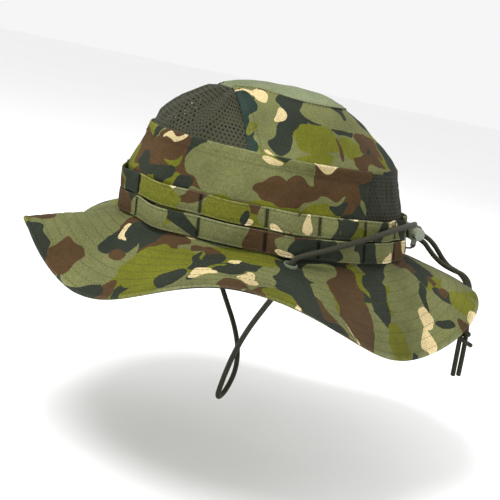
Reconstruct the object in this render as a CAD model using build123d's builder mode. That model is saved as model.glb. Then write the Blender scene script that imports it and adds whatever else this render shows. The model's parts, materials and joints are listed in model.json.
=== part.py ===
from build123d import *
import math
import os

# A wide-brimmed cloth hat. +Z is up, the front of the hat is -Y and the wearer's left is +X.
# The origin is the middle of the head opening, in the plane of the crown's bottom edge.

# Driving dimensions, in millimetres.
head_half_width = 84.0
head_half_length = 104.0
band_level = 31.0
shoulder_level = 62.0
top_level = 97.0
top_half_width = 39.5
top_half_length = 46.5
top_puff = 7.0
wall = 1.0
brim_width = 67.0
brim_ply = 0.6
interlining = 0.8
sweatband_thickness = 1.4
tape_width = 8.0
tape_thickness = 0.8
label_width = 32.0
label_height = 16.0
label_thickness = 0.4
strip_height = 14.0
strip_thickness = 1.2
strip_bulge = 3.2
tack_width = 1.8
cord_diameter = 3.8
eyelet_bore = 6.4
eyelet_wall = 1.6
lock_bore = 9.5
lock_wall = 1.05
lock_depth = 17.0
plunger_travel = 3.5
tether_diameter = 1.4

# Clearances.
running_clearance = 0.3
plunger_clearance = 0.15
cord_gap = 0.15
strip_seat = 0.6

# How far each level of the crown is narrower than the head opening, and how far it leans forward.
band_taper = (1.0, 2.0)
shoulder_taper = (5.0, 13.0)
bulge_level = 81.0
bulge_taper = (24.0, 34.0)
band_lean = -4.5
shoulder_lean = -4.6
bulge_lean = -5.8
top_lean = -7.4

# Where the panels meet: the front mesh and the rear mesh end on these planes.
front_mesh_edge = -51.0
rear_mesh_edge = 38.0

# Droop of the brim in degrees at stations round it, from the front (0) to the back (180).
brim_droop = [(0, 12), (24, 40), (66, 7), (124, 48), (166, 15), (180, 15)]

# Bar tacks of the foliage band on the wearer's left, in degrees from the front.
tack_stations = [15, 48, 73, 93, 114, 136, 154, 172]

os.makedirs("parts", exist_ok=True)


def finish(builder, name):
    """Label a finished piece and write it out."""
    builder.part.label = name
    export_step(builder.part, f"parts/{name}.step")


# Crown sections ---------------------------------------------------------------------------

def section(level, half_width, half_length, lean):
    """One horizontal oval of the crown's outer surface."""
    return {"z": level, "a": half_width, "b": half_length, "y": lean}


base_section = section(0, head_half_width, head_half_length, 0)
band_section = section(
    band_level, head_half_width - band_taper[0], head_half_length - band_taper[1], band_lean
)
shoulder_section = section(
    shoulder_level,
    head_half_width - shoulder_taper[0],
    head_half_length - shoulder_taper[1],
    shoulder_lean,
)
bulge_section = section(
    bulge_level, head_half_width - bulge_taper[0], head_half_length - bulge_taper[1], bulge_lean
)
top_section = section(top_level, top_half_width, top_half_length, top_lean)

wall_sections = [base_section, band_section, shoulder_section]
upper_sections = [shoulder_section, bulge_section, top_section]


def oval_loft(sections, inset, ruled, mode=Mode.ADD):
    """Loft through crown sections, each drawn in by the inset. Used inside a BuildPart."""
    ovals = []
    for item in sections:
        with BuildSketch(Plane.XY.offset(item["z"]), mode=Mode.PRIVATE) as oval:
            with Locations((0, item["y"])):
                Ellipse(item["a"] - inset, item["b"] - inset)
        ovals.append(oval.sketch.face())
    loft(ovals, ruled=ruled, mode=mode)


def wall_point(level, station, outward=0.0):
    """A point on the lower crown wall at a level and a station in degrees, moved outward."""
    share = level / band_level
    half_width = head_half_width - band_taper[0] * share
    half_length = head_half_length - band_taper[1] * share
    turn = math.radians(station)
    normal = Vector(math.sin(turn) / half_width, -math.cos(turn) / half_length, 0).normalized()
    on_wall = Vector(
        half_width * math.sin(turn), band_lean * share - half_length * math.cos(turn), level
    )
    return on_wall + normal * outward


# Crown panels -----------------------------------------------------------------------------

front_plane = Plane(origin=(0, front_mesh_edge, 0), z_dir=(0, 1, 0))
rear_plane = Plane(origin=(0, rear_mesh_edge, 0), z_dir=(0, 1, 0))
middle_plane = Plane(origin=(0, 0, 0), z_dir=(1, 0, 0))

with BuildPart() as front_wall:
    oval_loft(wall_sections, 0, ruled=True)
    oval_loft(wall_sections, wall, ruled=True, mode=Mode.SUBTRACT)
    split(bisect_by=rear_plane, keep=Keep.BOTTOM)
finish(front_wall, "front_wall")

with BuildPart() as rear_mesh:
    oval_loft(wall_sections, 0, ruled=True)
    oval_loft(wall_sections, wall, ruled=True, mode=Mode.SUBTRACT)
    split(bisect_by=rear_plane, keep=Keep.TOP)
finish(rear_mesh, "rear_mesh")

with BuildPart() as front_mesh:
    oval_loft(upper_sections, 0, ruled=False)
    oval_loft(upper_sections, wall, ruled=False, mode=Mode.SUBTRACT)
    split(bisect_by=front_plane, keep=Keep.BOTTOM)
finish(front_mesh, "front_mesh")

with BuildPart() as left_upper_panel:
    oval_loft(upper_sections, 0, ruled=False)
    oval_loft(upper_sections, wall, ruled=False, mode=Mode.SUBTRACT)
    split(bisect_by=front_plane, keep=Keep.TOP)
    split(bisect_by=middle_plane, keep=Keep.TOP)
finish(left_upper_panel, "left_upper_panel")

with BuildPart() as right_upper_panel:
    add(left_upper_panel.part.mirror(Plane.YZ))
finish(right_upper_panel, "right_upper_panel")


def puff_sections(inset):
    """Sections of the puffed top panel, from its seam to its crest, drawn in all round."""
    ovals = []
    for rise, share in [(0, 1.0), (0.58, 0.84), (0.9, 0.56), (1.0, 0.25)]:
        level = top_level + rise * (top_puff - inset)
        ovals.append(
            section(level, share * top_half_width, share * top_half_length, top_lean)
        )
    return ovals


with BuildPart() as top_panel:
    oval_loft(puff_sections(0), 0, ruled=False)
    oval_loft(puff_sections(wall), wall, ruled=False, mode=Mode.SUBTRACT)
finish(top_panel, "top_panel")

# Linings and tapes inside the crown --------------------------------------------------------

with BuildPart() as sweatband:
    oval_loft([base_section, band_section], wall, ruled=True)
    oval_loft(
        [base_section, band_section], wall + sweatband_thickness, ruled=True, mode=Mode.SUBTRACT
    )
finish(sweatband, "sweatband")

label_inset = wall + sweatband_thickness
label_middle = band_level / 2
with BuildPart() as care_label:
    oval_loft([base_section, band_section], label_inset, ruled=True)
    oval_loft(
        [base_section, band_section], label_inset + label_thickness, ruled=True, mode=Mode.SUBTRACT
    )
    with Locations((0, head_half_length, label_middle)):
        Box(label_width, head_half_length, label_height, mode=Mode.INTERSECT)
finish(care_label, "care_label")


def tape_levels(lower, upper):
    """Keep only the ring of a tape between two levels. Used inside a BuildPart."""
    split(bisect_by=Plane.XY.offset(lower), keep=Keep.TOP)
    split(bisect_by=Plane.XY.offset(upper), keep=Keep.BOTTOM)


with BuildPart() as shoulder_seam_tape:
    oval_loft([band_section, shoulder_section], wall, ruled=True)
    oval_loft(
        [band_section, shoulder_section], wall + tape_thickness, ruled=True, mode=Mode.SUBTRACT
    )
    tape_levels(shoulder_level - tape_width, shoulder_level)
finish(shoulder_seam_tape, "shoulder_seam_tape")

with BuildPart() as top_seam_tape:
    oval_loft(upper_sections, wall, ruled=False)
    oval_loft(upper_sections, wall + tape_thickness, ruled=False, mode=Mode.SUBTRACT)
    tape_levels(top_level - tape_width / 2, top_level)
finish(top_seam_tape, "top_seam_tape")

# Brim ---------------------------------------------------------------------------------------

brim_stack = 2 * brim_ply + interlining


def droop_at(station):
    """Droop angle in radians at a station in degrees, eased between the given stations."""
    for (start, first), (end, last) in zip(brim_droop, brim_droop[1:]):
        if start <= station <= end:
            share = (station - start) / (end - start)
            ease = (1 - math.cos(math.pi * share)) / 2
            return math.radians(first + (last - first) * ease)
    raise ValueError(f"station {station} is outside the half brim")


def brim_point(station, reach):
    """A point on the brim's top surface, at a reach out from the crown along the cloth."""
    turn = math.radians(station)
    normal = Vector(
        math.sin(turn) / head_half_width, -math.cos(turn) / head_half_length, 0
    ).normalized()
    droop = droop_at(station)
    root = Vector(head_half_width * math.sin(turn), -head_half_length * math.cos(turn), 0)
    return root + normal * (reach * math.cos(droop)) - Vector(0, 0, reach * math.sin(droop))


brim_root_lap = 4.0
brim_stations = [6 * index for index in range(31)]
brim_reaches = [-brim_root_lap + (brim_width + brim_root_lap) * index / 4 for index in range(5)]
half_brim_top = Face.make_surface_from_array_of_points(
    [[brim_point(station, reach) for reach in brim_reaches] for station in brim_stations]
)

eyelet_reach = 9.0
eyelet_station = 82.0
eyelet_centre = brim_point(eyelet_station, eyelet_reach)
eyelet_radius = eyelet_bore / 2 + eyelet_wall
eyelet_places = [(eyelet_centre.X, eyelet_centre.Y), (-eyelet_centre.X, eyelet_centre.Y)]


def brim_layer(top_depth, thickness):
    """One layer of the brim, its top face the brim surface moved down. Used in a BuildPart."""
    half_face = half_brim_top.moved(Location((0, 0, -top_depth - thickness)))
    extrude(half_face, amount=thickness, dir=(0, 0, 1))
    mirror(about=Plane.YZ)
    with BuildSketch(Plane.XY.offset(-brim_width), mode=Mode.PRIVATE) as cuts:
        Ellipse(head_half_width, head_half_length)
        with Locations(*eyelet_places):
            Circle(eyelet_radius)
    extrude(cuts.sketch, amount=2 * brim_width, mode=Mode.SUBTRACT)


with BuildPart() as brim_upper:
    brim_layer(0, brim_ply)
finish(brim_upper, "brim_upper")

with BuildPart() as brim_interlining:
    brim_layer(brim_ply, interlining)
finish(brim_interlining, "brim_interlining")

with BuildPart() as brim_lower:
    brim_layer(brim_ply + interlining, brim_ply)
finish(brim_lower, "brim_lower")

head_tape_width = 2.2
with BuildPart() as head_seam_tape:
    with BuildSketch(Plane.XY.offset(-brim_stack)):
        Ellipse(head_half_width, head_half_length)
        Ellipse(
            head_half_width - head_tape_width, head_half_length - head_tape_width, mode=Mode.SUBTRACT
        )
    extrude(amount=brim_stack)
finish(head_seam_tape, "head_seam_tape")

# Eyelets: thread-wrapped rings that stand a little proud of the brim on both faces.
eyelet_proud = 0.8
eyelet_fall = eyelet_radius * math.tan(droop_at(eyelet_station))
eyelet_top = eyelet_centre.Z + eyelet_fall + eyelet_proud
eyelet_bottom = eyelet_centre.Z - brim_stack - eyelet_fall - eyelet_proud
eyelets = {}
for name, place in zip(["left_eyelet", "right_eyelet"], eyelet_places):
    with BuildPart() as eyelet:
        with BuildSketch(Plane.XY.offset(eyelet_bottom)):
            with Locations(place):
                Circle(eyelet_radius)
                Circle(eyelet_bore / 2, mode=Mode.SUBTRACT)
        extrude(amount=eyelet_top - eyelet_bottom)
        fillet(eyelet.edges().filter_by(GeomType.CIRCLE), eyelet_wall / 4)
    finish(eyelet, name)

# Foliage band -------------------------------------------------------------------------------

lower_strip_level = 1.2
strip_row_gap = 1.2
full_bulge_gap = 20.0
upper_strip_level = lower_strip_level + strip_height + strip_row_gap
all_tacks = tack_stations + [360 - station for station in reversed(tack_stations)]
tack_gaps = list(zip(all_tacks, all_tacks[1:] + [all_tacks[0] + 360]))


def strip_outline(level, depth):
    """Closed wavy outline of a strip at a level, a depth in from the strip's outer face."""
    seat = strip_seat + strip_thickness - depth
    points = []
    for start, end in tack_gaps:
        bulge = strip_bulge * min(1, (end - start) / full_bulge_gap)
        for share in (0, 0.25, 0.5, 0.75):
            outward = seat + bulge * math.sin(math.pi * share) ** 2
            points.append(wall_point(level, start + share * (end - start), outward))
    with BuildSketch(Plane.XY.offset(level), mode=Mode.PRIVATE) as outline:
        with BuildLine():
            Spline([(point.X, point.Y) for point in points], periodic=True)
        make_face()
    return outline.sketch.face()


def strip_loft(level, depth, mode=Mode.ADD):
    """Loft a strip's outline from its lower edge to its upper edge. Used in a BuildPart."""
    edges = [strip_outline(level, depth), strip_outline(level + strip_height, depth)]
    loft(edges, ruled=True, mode=mode)


tack_margin = 1.0
tack_depth = strip_seat + strip_thickness + 0.5
with BuildPart() as strip_bar_tacks:
    for level in (lower_strip_level, upper_strip_level):
        for station in all_tacks:
            foot = wall_point(level + tack_margin, station)
            head = wall_point(level + strip_height - tack_margin, station)
            outward = wall_point(level + tack_margin, station, 1) - foot
            plane = Plane(origin=foot, x_dir=outward, z_dir=(0, 0, 1))
            with BuildSketch(plane):
                Rectangle(tack_depth, tack_width, align=(Align.MIN, Align.CENTER))
            rise = head - foot
            extrude(amount=rise.length, dir=rise)
finish(strip_bar_tacks, "strip_bar_tacks")

for name, level in [("lower_loop_strip", lower_strip_level), ("upper_loop_strip", upper_strip_level)]:
    with BuildPart() as strip:
        strip_loft(level, 0)
        strip_loft(level, strip_thickness, mode=Mode.SUBTRACT)
        add(strip_bar_tacks.part, mode=Mode.SUBTRACT)
    finish(strip, name)

# Cord lock ----------------------------------------------------------------------------------

# The lock's own Z runs along the plunger, out through the button, and its own X is the way
# the two strands lie side by side in it. The strands run through it along the cord axis.
lock_standoff = 12.5
lock_centre = Vector(6, head_half_length + lock_standoff, 15.5)
lock_yaw = 8.0
cord_fall = 17.0
plunger_axis = Vector(1, 0, 0).rotate(Axis.Z, lock_yaw)
level_axis = Vector(0, 1, 0).rotate(Axis.Z, lock_yaw)
cord_axis = level_axis * math.cos(math.radians(cord_fall)) - Vector(
    0, 0, math.sin(math.radians(cord_fall))
)
side_axis = cord_axis.cross(plunger_axis)
lock_plane = Plane(origin=lock_centre, x_dir=side_axis, z_dir=plunger_axis)
slot_plane = Plane(origin=lock_centre, x_dir=side_axis, z_dir=cord_axis)

cord_radius = cord_diameter / 2
strand_offset = side_axis * ((cord_diameter + cord_gap) / 2)
hole_height = cord_diameter + 2 * running_clearance
hole_width = 2 * cord_diameter + cord_gap + 2 * running_clearance
lock_floor = 1.5
lock_mouth = hole_height / 2 + plunger_travel + 0.3
lock_back = lock_mouth - lock_depth
barrel_radius = lock_bore / 2 + lock_wall
rim_radius = barrel_radius + 0.5
rim_width = 1.2
tab_length = 7.0
tab_width = 4.4
tab_hole_radius = tether_diameter / 2 + running_clearance
tab_overlap = 2.0
tab_centre = (
    lock_centre
    + plunger_axis * (lock_mouth - rim_width / 2)
    - Vector(0, 0, rim_radius + tab_length / 2 - tab_overlap)
)
tab_plane = Plane(origin=tab_centre, x_dir=(0, 0, -1), z_dir=plunger_axis)
tab_eye = tab_plane.from_local_coords(Vector(tab_length / 2 - tab_width / 2, 0, 0))

with BuildPart() as lock_body:
    with BuildSketch(lock_plane.offset(lock_back)):
        Circle(barrel_radius)
    extrude(amount=lock_depth)
    with BuildSketch(lock_plane.offset(lock_mouth - rim_width)):
        Circle(rim_radius)
    extrude(amount=rim_width)
    with BuildSketch(tab_plane):
        SlotOverall(tab_length, tab_width)
    extrude(amount=rim_width / 2, both=True)
    with BuildSketch(Plane(origin=tab_eye, z_dir=plunger_axis)):
        Circle(tab_hole_radius)
    extrude(amount=rim_width, both=True, mode=Mode.SUBTRACT)
    with BuildSketch(lock_plane.offset(lock_back + lock_floor)):
        Circle(lock_bore / 2)
    extrude(amount=lock_depth, mode=Mode.SUBTRACT)
    with BuildSketch(slot_plane):
        SlotOverall(hole_width, hole_height)
    extrude(amount=2 * barrel_radius, both=True, mode=Mode.SUBTRACT)
finish(lock_body, "lock_body")

# The plunger's slot is longer than the barrel's by the travel, so that it never cuts the strands.
plunger_radius = lock_bore / 2 - plunger_clearance
plunger_sole = 1.4
plunger_foot = -hole_height / 2 - plunger_sole
button_rise = 5.0
rib_radius = 0.45
rib_count = 12
plunger_slot_plane = Plane(
    origin=lock_centre + plunger_axis * (plunger_travel / 2), x_dir=side_axis, z_dir=cord_axis
)
with BuildPart() as lock_plunger:
    with BuildSketch(lock_plane.offset(plunger_foot)):
        Circle(plunger_radius)
    extrude(amount=lock_mouth + button_rise - plunger_foot)
    with BuildSketch(lock_plane.offset(lock_mouth + button_rise)):
        with PolarLocations(plunger_radius, rib_count):
            Circle(rib_radius)
    extrude(amount=-button_rise + 1, mode=Mode.SUBTRACT)
    with BuildSketch(plunger_slot_plane):
        Rectangle(hole_width, hole_height + plunger_travel)
    extrude(amount=2 * plunger_radius, both=True, mode=Mode.SUBTRACT)
finish(lock_plunger, "lock_plunger")

spring_wire = 0.5
spring_radius = 3.2
spring_turns = 3.5
spring_floor = lock_back + lock_floor + spring_wire / 2
spring_length = plunger_foot - spring_wire / 2 - spring_floor
with BuildPart() as lock_spring:
    with BuildLine():
        coil = Helix(
            spring_length / spring_turns,
            spring_length,
            spring_radius,
            center=lock_centre + plunger_axis * spring_floor,
            direction=plunger_axis,
        )
    with BuildSketch(Plane(origin=coil @ 0, z_dir=coil % 0)):
        Circle(spring_wire / 2)
    sweep(is_frenet=True)
finish(lock_spring, "lock_spring")


# Cords --------------------------------------------------------------------------------------

def corner_radii(points, tight=None):
    """The largest even radius at each corner of a route; tight corners are given by index."""
    radii = []
    for index in range(1, len(points) - 1):
        before = points[index] - points[index - 1]
        after = points[index + 1] - points[index]
        half_turn = math.radians(before.get_angle(after)) / 2
        radius = 0.45 * min(before.length, after.length) / math.tan(half_turn)
        radii.append(min(radius, (tight or {}).get(index, radius)))
    return radii


def cord_tube(name, points, diameter, tight=None, ball_ends=False):
    """Sweep a round cord along straight runs joined by arcs, and print its length and bends."""
    points = [Vector(*point) for point in points]
    radii = corner_radii(points, tight)
    with BuildPart() as cord:
        with BuildLine() as route:
            FilletPolyline(*points, radius=radii)
        with BuildSketch(Plane(origin=points[0], z_dir=points[1] - points[0])):
            Circle(diameter / 2)
        sweep()
        if ball_ends:
            with Locations(points[0], points[-1]):
                Sphere(diameter / 2)
    length = sum(edge.length for edge in route.edges())
    expected = length * math.pi * diameter**2 / 4
    print(name, "length", round(length, 1), "radii", [round(radius, 1) for radius in radii])
    print(name, "volume over section times length", round(cord.part.volume / expected, 4))
    finish(cord, name)
    return cord


strand_foot = eyelet_bottom - running_clearance
eye_x, eye_y = eyelet_places[0]
lock_entry = 10.5
lock_exit = 15.0
left_entry = lock_centre - cord_axis * lock_entry + strand_offset
left_exit = lock_centre + cord_axis * lock_exit + strand_offset
right_entry = lock_centre - cord_axis * lock_entry - strand_offset
right_exit = lock_centre + cord_axis * lock_exit - strand_offset
entry_bend = 1.2 * cord_diameter

rear_droop = math.radians(brim_droop[-1][1])
rear_edge = head_half_length + brim_width * math.cos(rear_droop)
rear_edge_level = -brim_width * math.sin(rear_droop)


def beside_crown(across, along, level):
    """A point beside the crown, at shares of the head opening's half width and half length."""
    return (across * head_half_width, along * head_half_length, level)


def over_brim(x, share, lift):
    """A point above the rear brim, at a share of its width out from the crown."""
    return (
        x,
        head_half_length + share * (rear_edge - head_half_length),
        share * rear_edge_level + lift,
    )


def below_brim(x, outward, down):
    """A point beyond and below the rear edge of the brim."""
    return (x, rear_edge + outward, rear_edge_level - down)


left_route = [
    (eye_x, eye_y, strand_foot),
    (eye_x, eye_y, 1.0),
    (eye_x + 0.6, eye_y + 8, 5.0),
    (eye_x + 0.4, eye_y + 24, 10.5),
    beside_crown(1.006, 0.385, 20.5),
    beside_crown(0.827, 0.663, 27.5),
    beside_crown(0.571, 0.894, 28.5),
    beside_crown(0.321, 1.005, 24.5),
    tuple(left_entry),
    tuple(left_exit),
    over_brim(4.0, 0.518, 11.4),
    over_brim(4.2, 0.641, 7.5),
    over_brim(4.8, 0.765, 5.5),
    over_brim(6.0, 0.896, 5.1),
    over_brim(8.0, 1.043, 5.7),
    below_brim(9.8, 9.3, 2.7),
    below_brim(11.5, 9.3, 15.7),
    below_brim(11.6, 8.9, 30.7),
    below_brim(12.2, 8.7, 44.7),
    below_brim(13.0, 8.8, 60.7),
    below_brim(13.6, 9.1, 76.7),
]
right_route = [
    (-eye_x, eye_y, strand_foot),
    (-eye_x, eye_y, 1.0),
    (-eye_x - 0.6, eye_y + 8, 5.0),
    (-eye_x - 0.4, eye_y + 24, 10.5),
    beside_crown(-1.006, 0.385, 20.5),
    beside_crown(-0.827, 0.663, 27.5),
    beside_crown(-0.571, 0.894, 28.5),
    beside_crown(-0.333, 1.012, 27.5),
    beside_crown(-0.119, 1.04, 24.2),
    tuple(right_entry),
    tuple(right_exit),
    over_brim(2.0, 0.564, 17.8),
    over_brim(0.5, 0.672, 13.7),
    over_brim(-0.6, 0.78, 9.1),
    over_brim(-1.0, 0.896, 5.7),
    over_brim(1.4, 1.051, 5.4),
    below_brim(4.0, 10.2, 3.7),
    below_brim(6.8, 13.2, 16.7),
    below_brim(11.0, 13.2, 30.7),
    below_brim(14.5, 12.8, 44.7),
    below_brim(15.5, 12.5, 59.7),
    below_brim(15.6, 12.8, 75.7),
]
left_strand = cord_tube("left_strand", left_route, cord_diameter, {8: entry_bend})
right_strand = cord_tube("right_strand", right_route, cord_diameter, {9: entry_bend})

pivot_level = strand_foot - running_clearance - cord_radius
chin_route = [
    (eye_x, eye_y, pivot_level),
    (eye_x - 5, eye_y - 0.8, pivot_level - 10),
    (eye_x - 19, eye_y - 2.4, pivot_level - 27),
    (47, -16.5, -62),
    (27, -14.5, -87),
    (16, -14, -110),
    (9, -13, -128),
    (-9, 0.5, -128.5),
    (-16, 8.5, -111),
    (-26, 7, -89),
    (-47, -4, -62),
    (-eye_x + 19, eye_y + 2.5, pivot_level - 27),
    (-eye_x + 5, eye_y + 0.5, pivot_level - 10),
    (-eye_x, eye_y, pivot_level),
]
chin_loop = cord_tube("chin_loop", chin_route, cord_diameter, ball_ends=True)

tether_anchor = wall_point(5, 163, strip_seat + strip_thickness)
tether_route = [
    tuple(tab_eye - plunger_axis * 0.4),
    tuple(tab_eye + plunger_axis * 2.2),
    (tab_eye.X + 4.0, tab_eye.Y - 3.5, tab_eye.Z - 2.0),
    (tab_eye.X + 7.0, tab_eye.Y - 10.0, tab_eye.Z - 1.6),
    tuple(tether_anchor),
]
lock_tether = cord_tube("lock_tether", tether_route, tether_diameter)

knot_centre = below_brim(12.5, 10.9, 39.7)
knot_radius = 5.6
knot_half_height = 6.3
with BuildPart() as tail_knot:
    with BuildSketch(Plane(origin=knot_centre, x_dir=(1, 0, 0), z_dir=(0, -1, 0))):
        Ellipse(knot_radius, knot_half_height)
        with Locations((-knot_radius, 0)):
            Rectangle(2 * knot_radius, 2 * knot_half_height, mode=Mode.SUBTRACT)
    revolve(axis=Axis(knot_centre, (0, 0, 1)))
finish(tail_knot, "tail_knot")
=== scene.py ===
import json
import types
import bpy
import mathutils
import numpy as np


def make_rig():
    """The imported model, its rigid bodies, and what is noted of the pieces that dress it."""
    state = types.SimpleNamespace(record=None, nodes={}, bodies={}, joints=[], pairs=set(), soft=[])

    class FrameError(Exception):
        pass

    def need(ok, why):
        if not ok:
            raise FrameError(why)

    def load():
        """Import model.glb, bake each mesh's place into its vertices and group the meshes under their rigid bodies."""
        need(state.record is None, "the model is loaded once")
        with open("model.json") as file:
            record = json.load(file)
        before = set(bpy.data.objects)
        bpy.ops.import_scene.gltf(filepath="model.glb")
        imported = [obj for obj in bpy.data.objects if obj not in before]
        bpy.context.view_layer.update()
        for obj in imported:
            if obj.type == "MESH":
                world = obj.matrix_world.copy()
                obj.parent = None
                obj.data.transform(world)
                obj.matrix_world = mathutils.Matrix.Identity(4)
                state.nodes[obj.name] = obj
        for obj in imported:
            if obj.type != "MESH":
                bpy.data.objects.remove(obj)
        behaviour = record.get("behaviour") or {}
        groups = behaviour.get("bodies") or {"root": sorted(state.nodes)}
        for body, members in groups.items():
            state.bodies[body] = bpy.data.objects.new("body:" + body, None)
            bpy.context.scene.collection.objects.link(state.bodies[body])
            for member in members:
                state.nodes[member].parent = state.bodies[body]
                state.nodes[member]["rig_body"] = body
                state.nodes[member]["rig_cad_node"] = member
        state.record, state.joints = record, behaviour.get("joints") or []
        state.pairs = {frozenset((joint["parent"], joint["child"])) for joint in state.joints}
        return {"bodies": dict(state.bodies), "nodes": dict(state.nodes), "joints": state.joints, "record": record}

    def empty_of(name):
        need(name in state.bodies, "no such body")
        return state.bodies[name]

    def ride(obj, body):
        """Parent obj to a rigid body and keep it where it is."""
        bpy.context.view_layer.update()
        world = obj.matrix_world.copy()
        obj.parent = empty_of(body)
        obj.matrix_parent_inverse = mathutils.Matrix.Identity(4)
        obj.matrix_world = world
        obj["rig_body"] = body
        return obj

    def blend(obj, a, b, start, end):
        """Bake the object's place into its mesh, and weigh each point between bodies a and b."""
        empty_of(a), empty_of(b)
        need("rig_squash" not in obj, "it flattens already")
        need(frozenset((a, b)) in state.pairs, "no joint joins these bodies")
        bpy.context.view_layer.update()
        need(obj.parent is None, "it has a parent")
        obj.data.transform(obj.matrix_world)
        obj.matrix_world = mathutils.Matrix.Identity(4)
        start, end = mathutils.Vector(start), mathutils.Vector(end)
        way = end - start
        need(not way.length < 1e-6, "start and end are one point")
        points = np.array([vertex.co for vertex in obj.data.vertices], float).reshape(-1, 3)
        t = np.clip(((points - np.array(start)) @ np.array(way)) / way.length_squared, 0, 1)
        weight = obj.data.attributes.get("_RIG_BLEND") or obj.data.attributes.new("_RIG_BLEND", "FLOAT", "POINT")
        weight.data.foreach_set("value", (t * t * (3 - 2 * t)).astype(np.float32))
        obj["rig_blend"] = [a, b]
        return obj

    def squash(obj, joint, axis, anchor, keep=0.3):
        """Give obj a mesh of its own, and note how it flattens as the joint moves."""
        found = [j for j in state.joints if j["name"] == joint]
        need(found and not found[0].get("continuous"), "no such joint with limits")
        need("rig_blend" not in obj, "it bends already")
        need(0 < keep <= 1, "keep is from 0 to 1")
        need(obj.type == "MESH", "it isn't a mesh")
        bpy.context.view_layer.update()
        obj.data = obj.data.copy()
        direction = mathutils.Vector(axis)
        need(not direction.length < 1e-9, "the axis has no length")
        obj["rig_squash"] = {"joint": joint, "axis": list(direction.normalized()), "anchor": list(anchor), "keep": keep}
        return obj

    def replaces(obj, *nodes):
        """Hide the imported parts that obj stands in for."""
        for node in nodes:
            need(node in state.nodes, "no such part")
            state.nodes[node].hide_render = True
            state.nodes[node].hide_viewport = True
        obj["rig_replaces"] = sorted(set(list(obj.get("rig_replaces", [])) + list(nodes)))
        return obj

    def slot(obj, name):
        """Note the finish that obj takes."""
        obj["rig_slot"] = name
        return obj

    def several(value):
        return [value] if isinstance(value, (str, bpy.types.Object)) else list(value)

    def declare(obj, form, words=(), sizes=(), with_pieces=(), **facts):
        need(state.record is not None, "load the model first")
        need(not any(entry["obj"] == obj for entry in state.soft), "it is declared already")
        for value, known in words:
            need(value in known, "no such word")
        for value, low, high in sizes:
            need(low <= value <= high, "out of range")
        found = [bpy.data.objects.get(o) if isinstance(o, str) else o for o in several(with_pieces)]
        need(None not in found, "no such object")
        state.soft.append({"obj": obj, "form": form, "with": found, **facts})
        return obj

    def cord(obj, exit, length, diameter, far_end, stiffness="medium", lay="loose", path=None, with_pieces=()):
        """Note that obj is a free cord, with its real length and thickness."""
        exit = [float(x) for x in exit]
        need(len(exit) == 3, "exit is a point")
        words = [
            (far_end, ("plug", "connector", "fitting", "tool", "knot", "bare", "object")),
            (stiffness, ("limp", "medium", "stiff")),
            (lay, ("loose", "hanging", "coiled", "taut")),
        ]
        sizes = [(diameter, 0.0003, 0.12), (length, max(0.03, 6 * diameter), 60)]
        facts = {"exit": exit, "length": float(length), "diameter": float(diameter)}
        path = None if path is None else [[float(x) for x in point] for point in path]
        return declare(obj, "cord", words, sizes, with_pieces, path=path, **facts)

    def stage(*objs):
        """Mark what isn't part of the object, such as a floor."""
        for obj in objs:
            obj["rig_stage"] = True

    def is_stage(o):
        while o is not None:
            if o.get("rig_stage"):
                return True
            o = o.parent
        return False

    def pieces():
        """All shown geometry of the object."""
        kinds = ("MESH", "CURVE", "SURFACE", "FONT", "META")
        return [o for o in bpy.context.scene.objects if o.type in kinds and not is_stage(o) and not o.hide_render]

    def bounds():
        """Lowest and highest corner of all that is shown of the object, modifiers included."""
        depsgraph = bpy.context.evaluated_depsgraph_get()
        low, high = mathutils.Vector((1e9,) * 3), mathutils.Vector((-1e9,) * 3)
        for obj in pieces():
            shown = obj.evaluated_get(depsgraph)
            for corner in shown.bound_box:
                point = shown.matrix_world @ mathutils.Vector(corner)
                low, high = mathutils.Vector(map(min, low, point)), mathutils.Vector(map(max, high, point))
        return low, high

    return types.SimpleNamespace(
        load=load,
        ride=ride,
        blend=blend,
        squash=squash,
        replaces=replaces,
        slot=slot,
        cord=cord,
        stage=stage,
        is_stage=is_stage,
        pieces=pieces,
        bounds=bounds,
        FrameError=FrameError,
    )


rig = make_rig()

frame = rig.load()

import json
import math

import bpy
from mathutils import Matrix, Quaternion, Vector, noise

# A camouflage boonie hat: sewn crown, quilted brim, foliage band and a braided chin cord with a
# barrel lock. Lengths are in metres; the front is -Y and the wearer's left is +X.
cad_low, cad_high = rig.bounds()


# Studio. A pale floor under the hanging chin cord, broad soft lights and a camera a little above
# the brim that looks at the wearer's left side, rolled a little.
def link(item):
    bpy.context.collection.objects.link(item)
    return item


def joiner(tree):
    """A function that adds a node to the tree, sets it and joins its inputs."""
    def join(kind, inputs=None, **settings):
        node = tree.nodes.new(kind)
        for key, value in settings.items():
            setattr(node, key, value)
        for key, value in (inputs or {}).items():
            if isinstance(value, bpy.types.NodeSocket):
                tree.links.new(value, node.inputs[key])
            else:
                node.inputs[key].default_value = value
        return node
    return join


def finish_material(name, roughness, sheen=0.0, specular=0.3):
    """A new material with its plain surface values set on the shader itself."""
    material = bpy.data.materials.new(name)
    material.use_nodes = True
    shader = material.node_tree.nodes["Principled BSDF"]
    shader.inputs["Roughness"].default_value = roughness
    shader.inputs["Sheen Weight"].default_value = sheen
    shader.inputs["Specular IOR Level"].default_value = specular
    return material, joiner(material.node_tree), shader, material.node_tree.links


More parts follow.
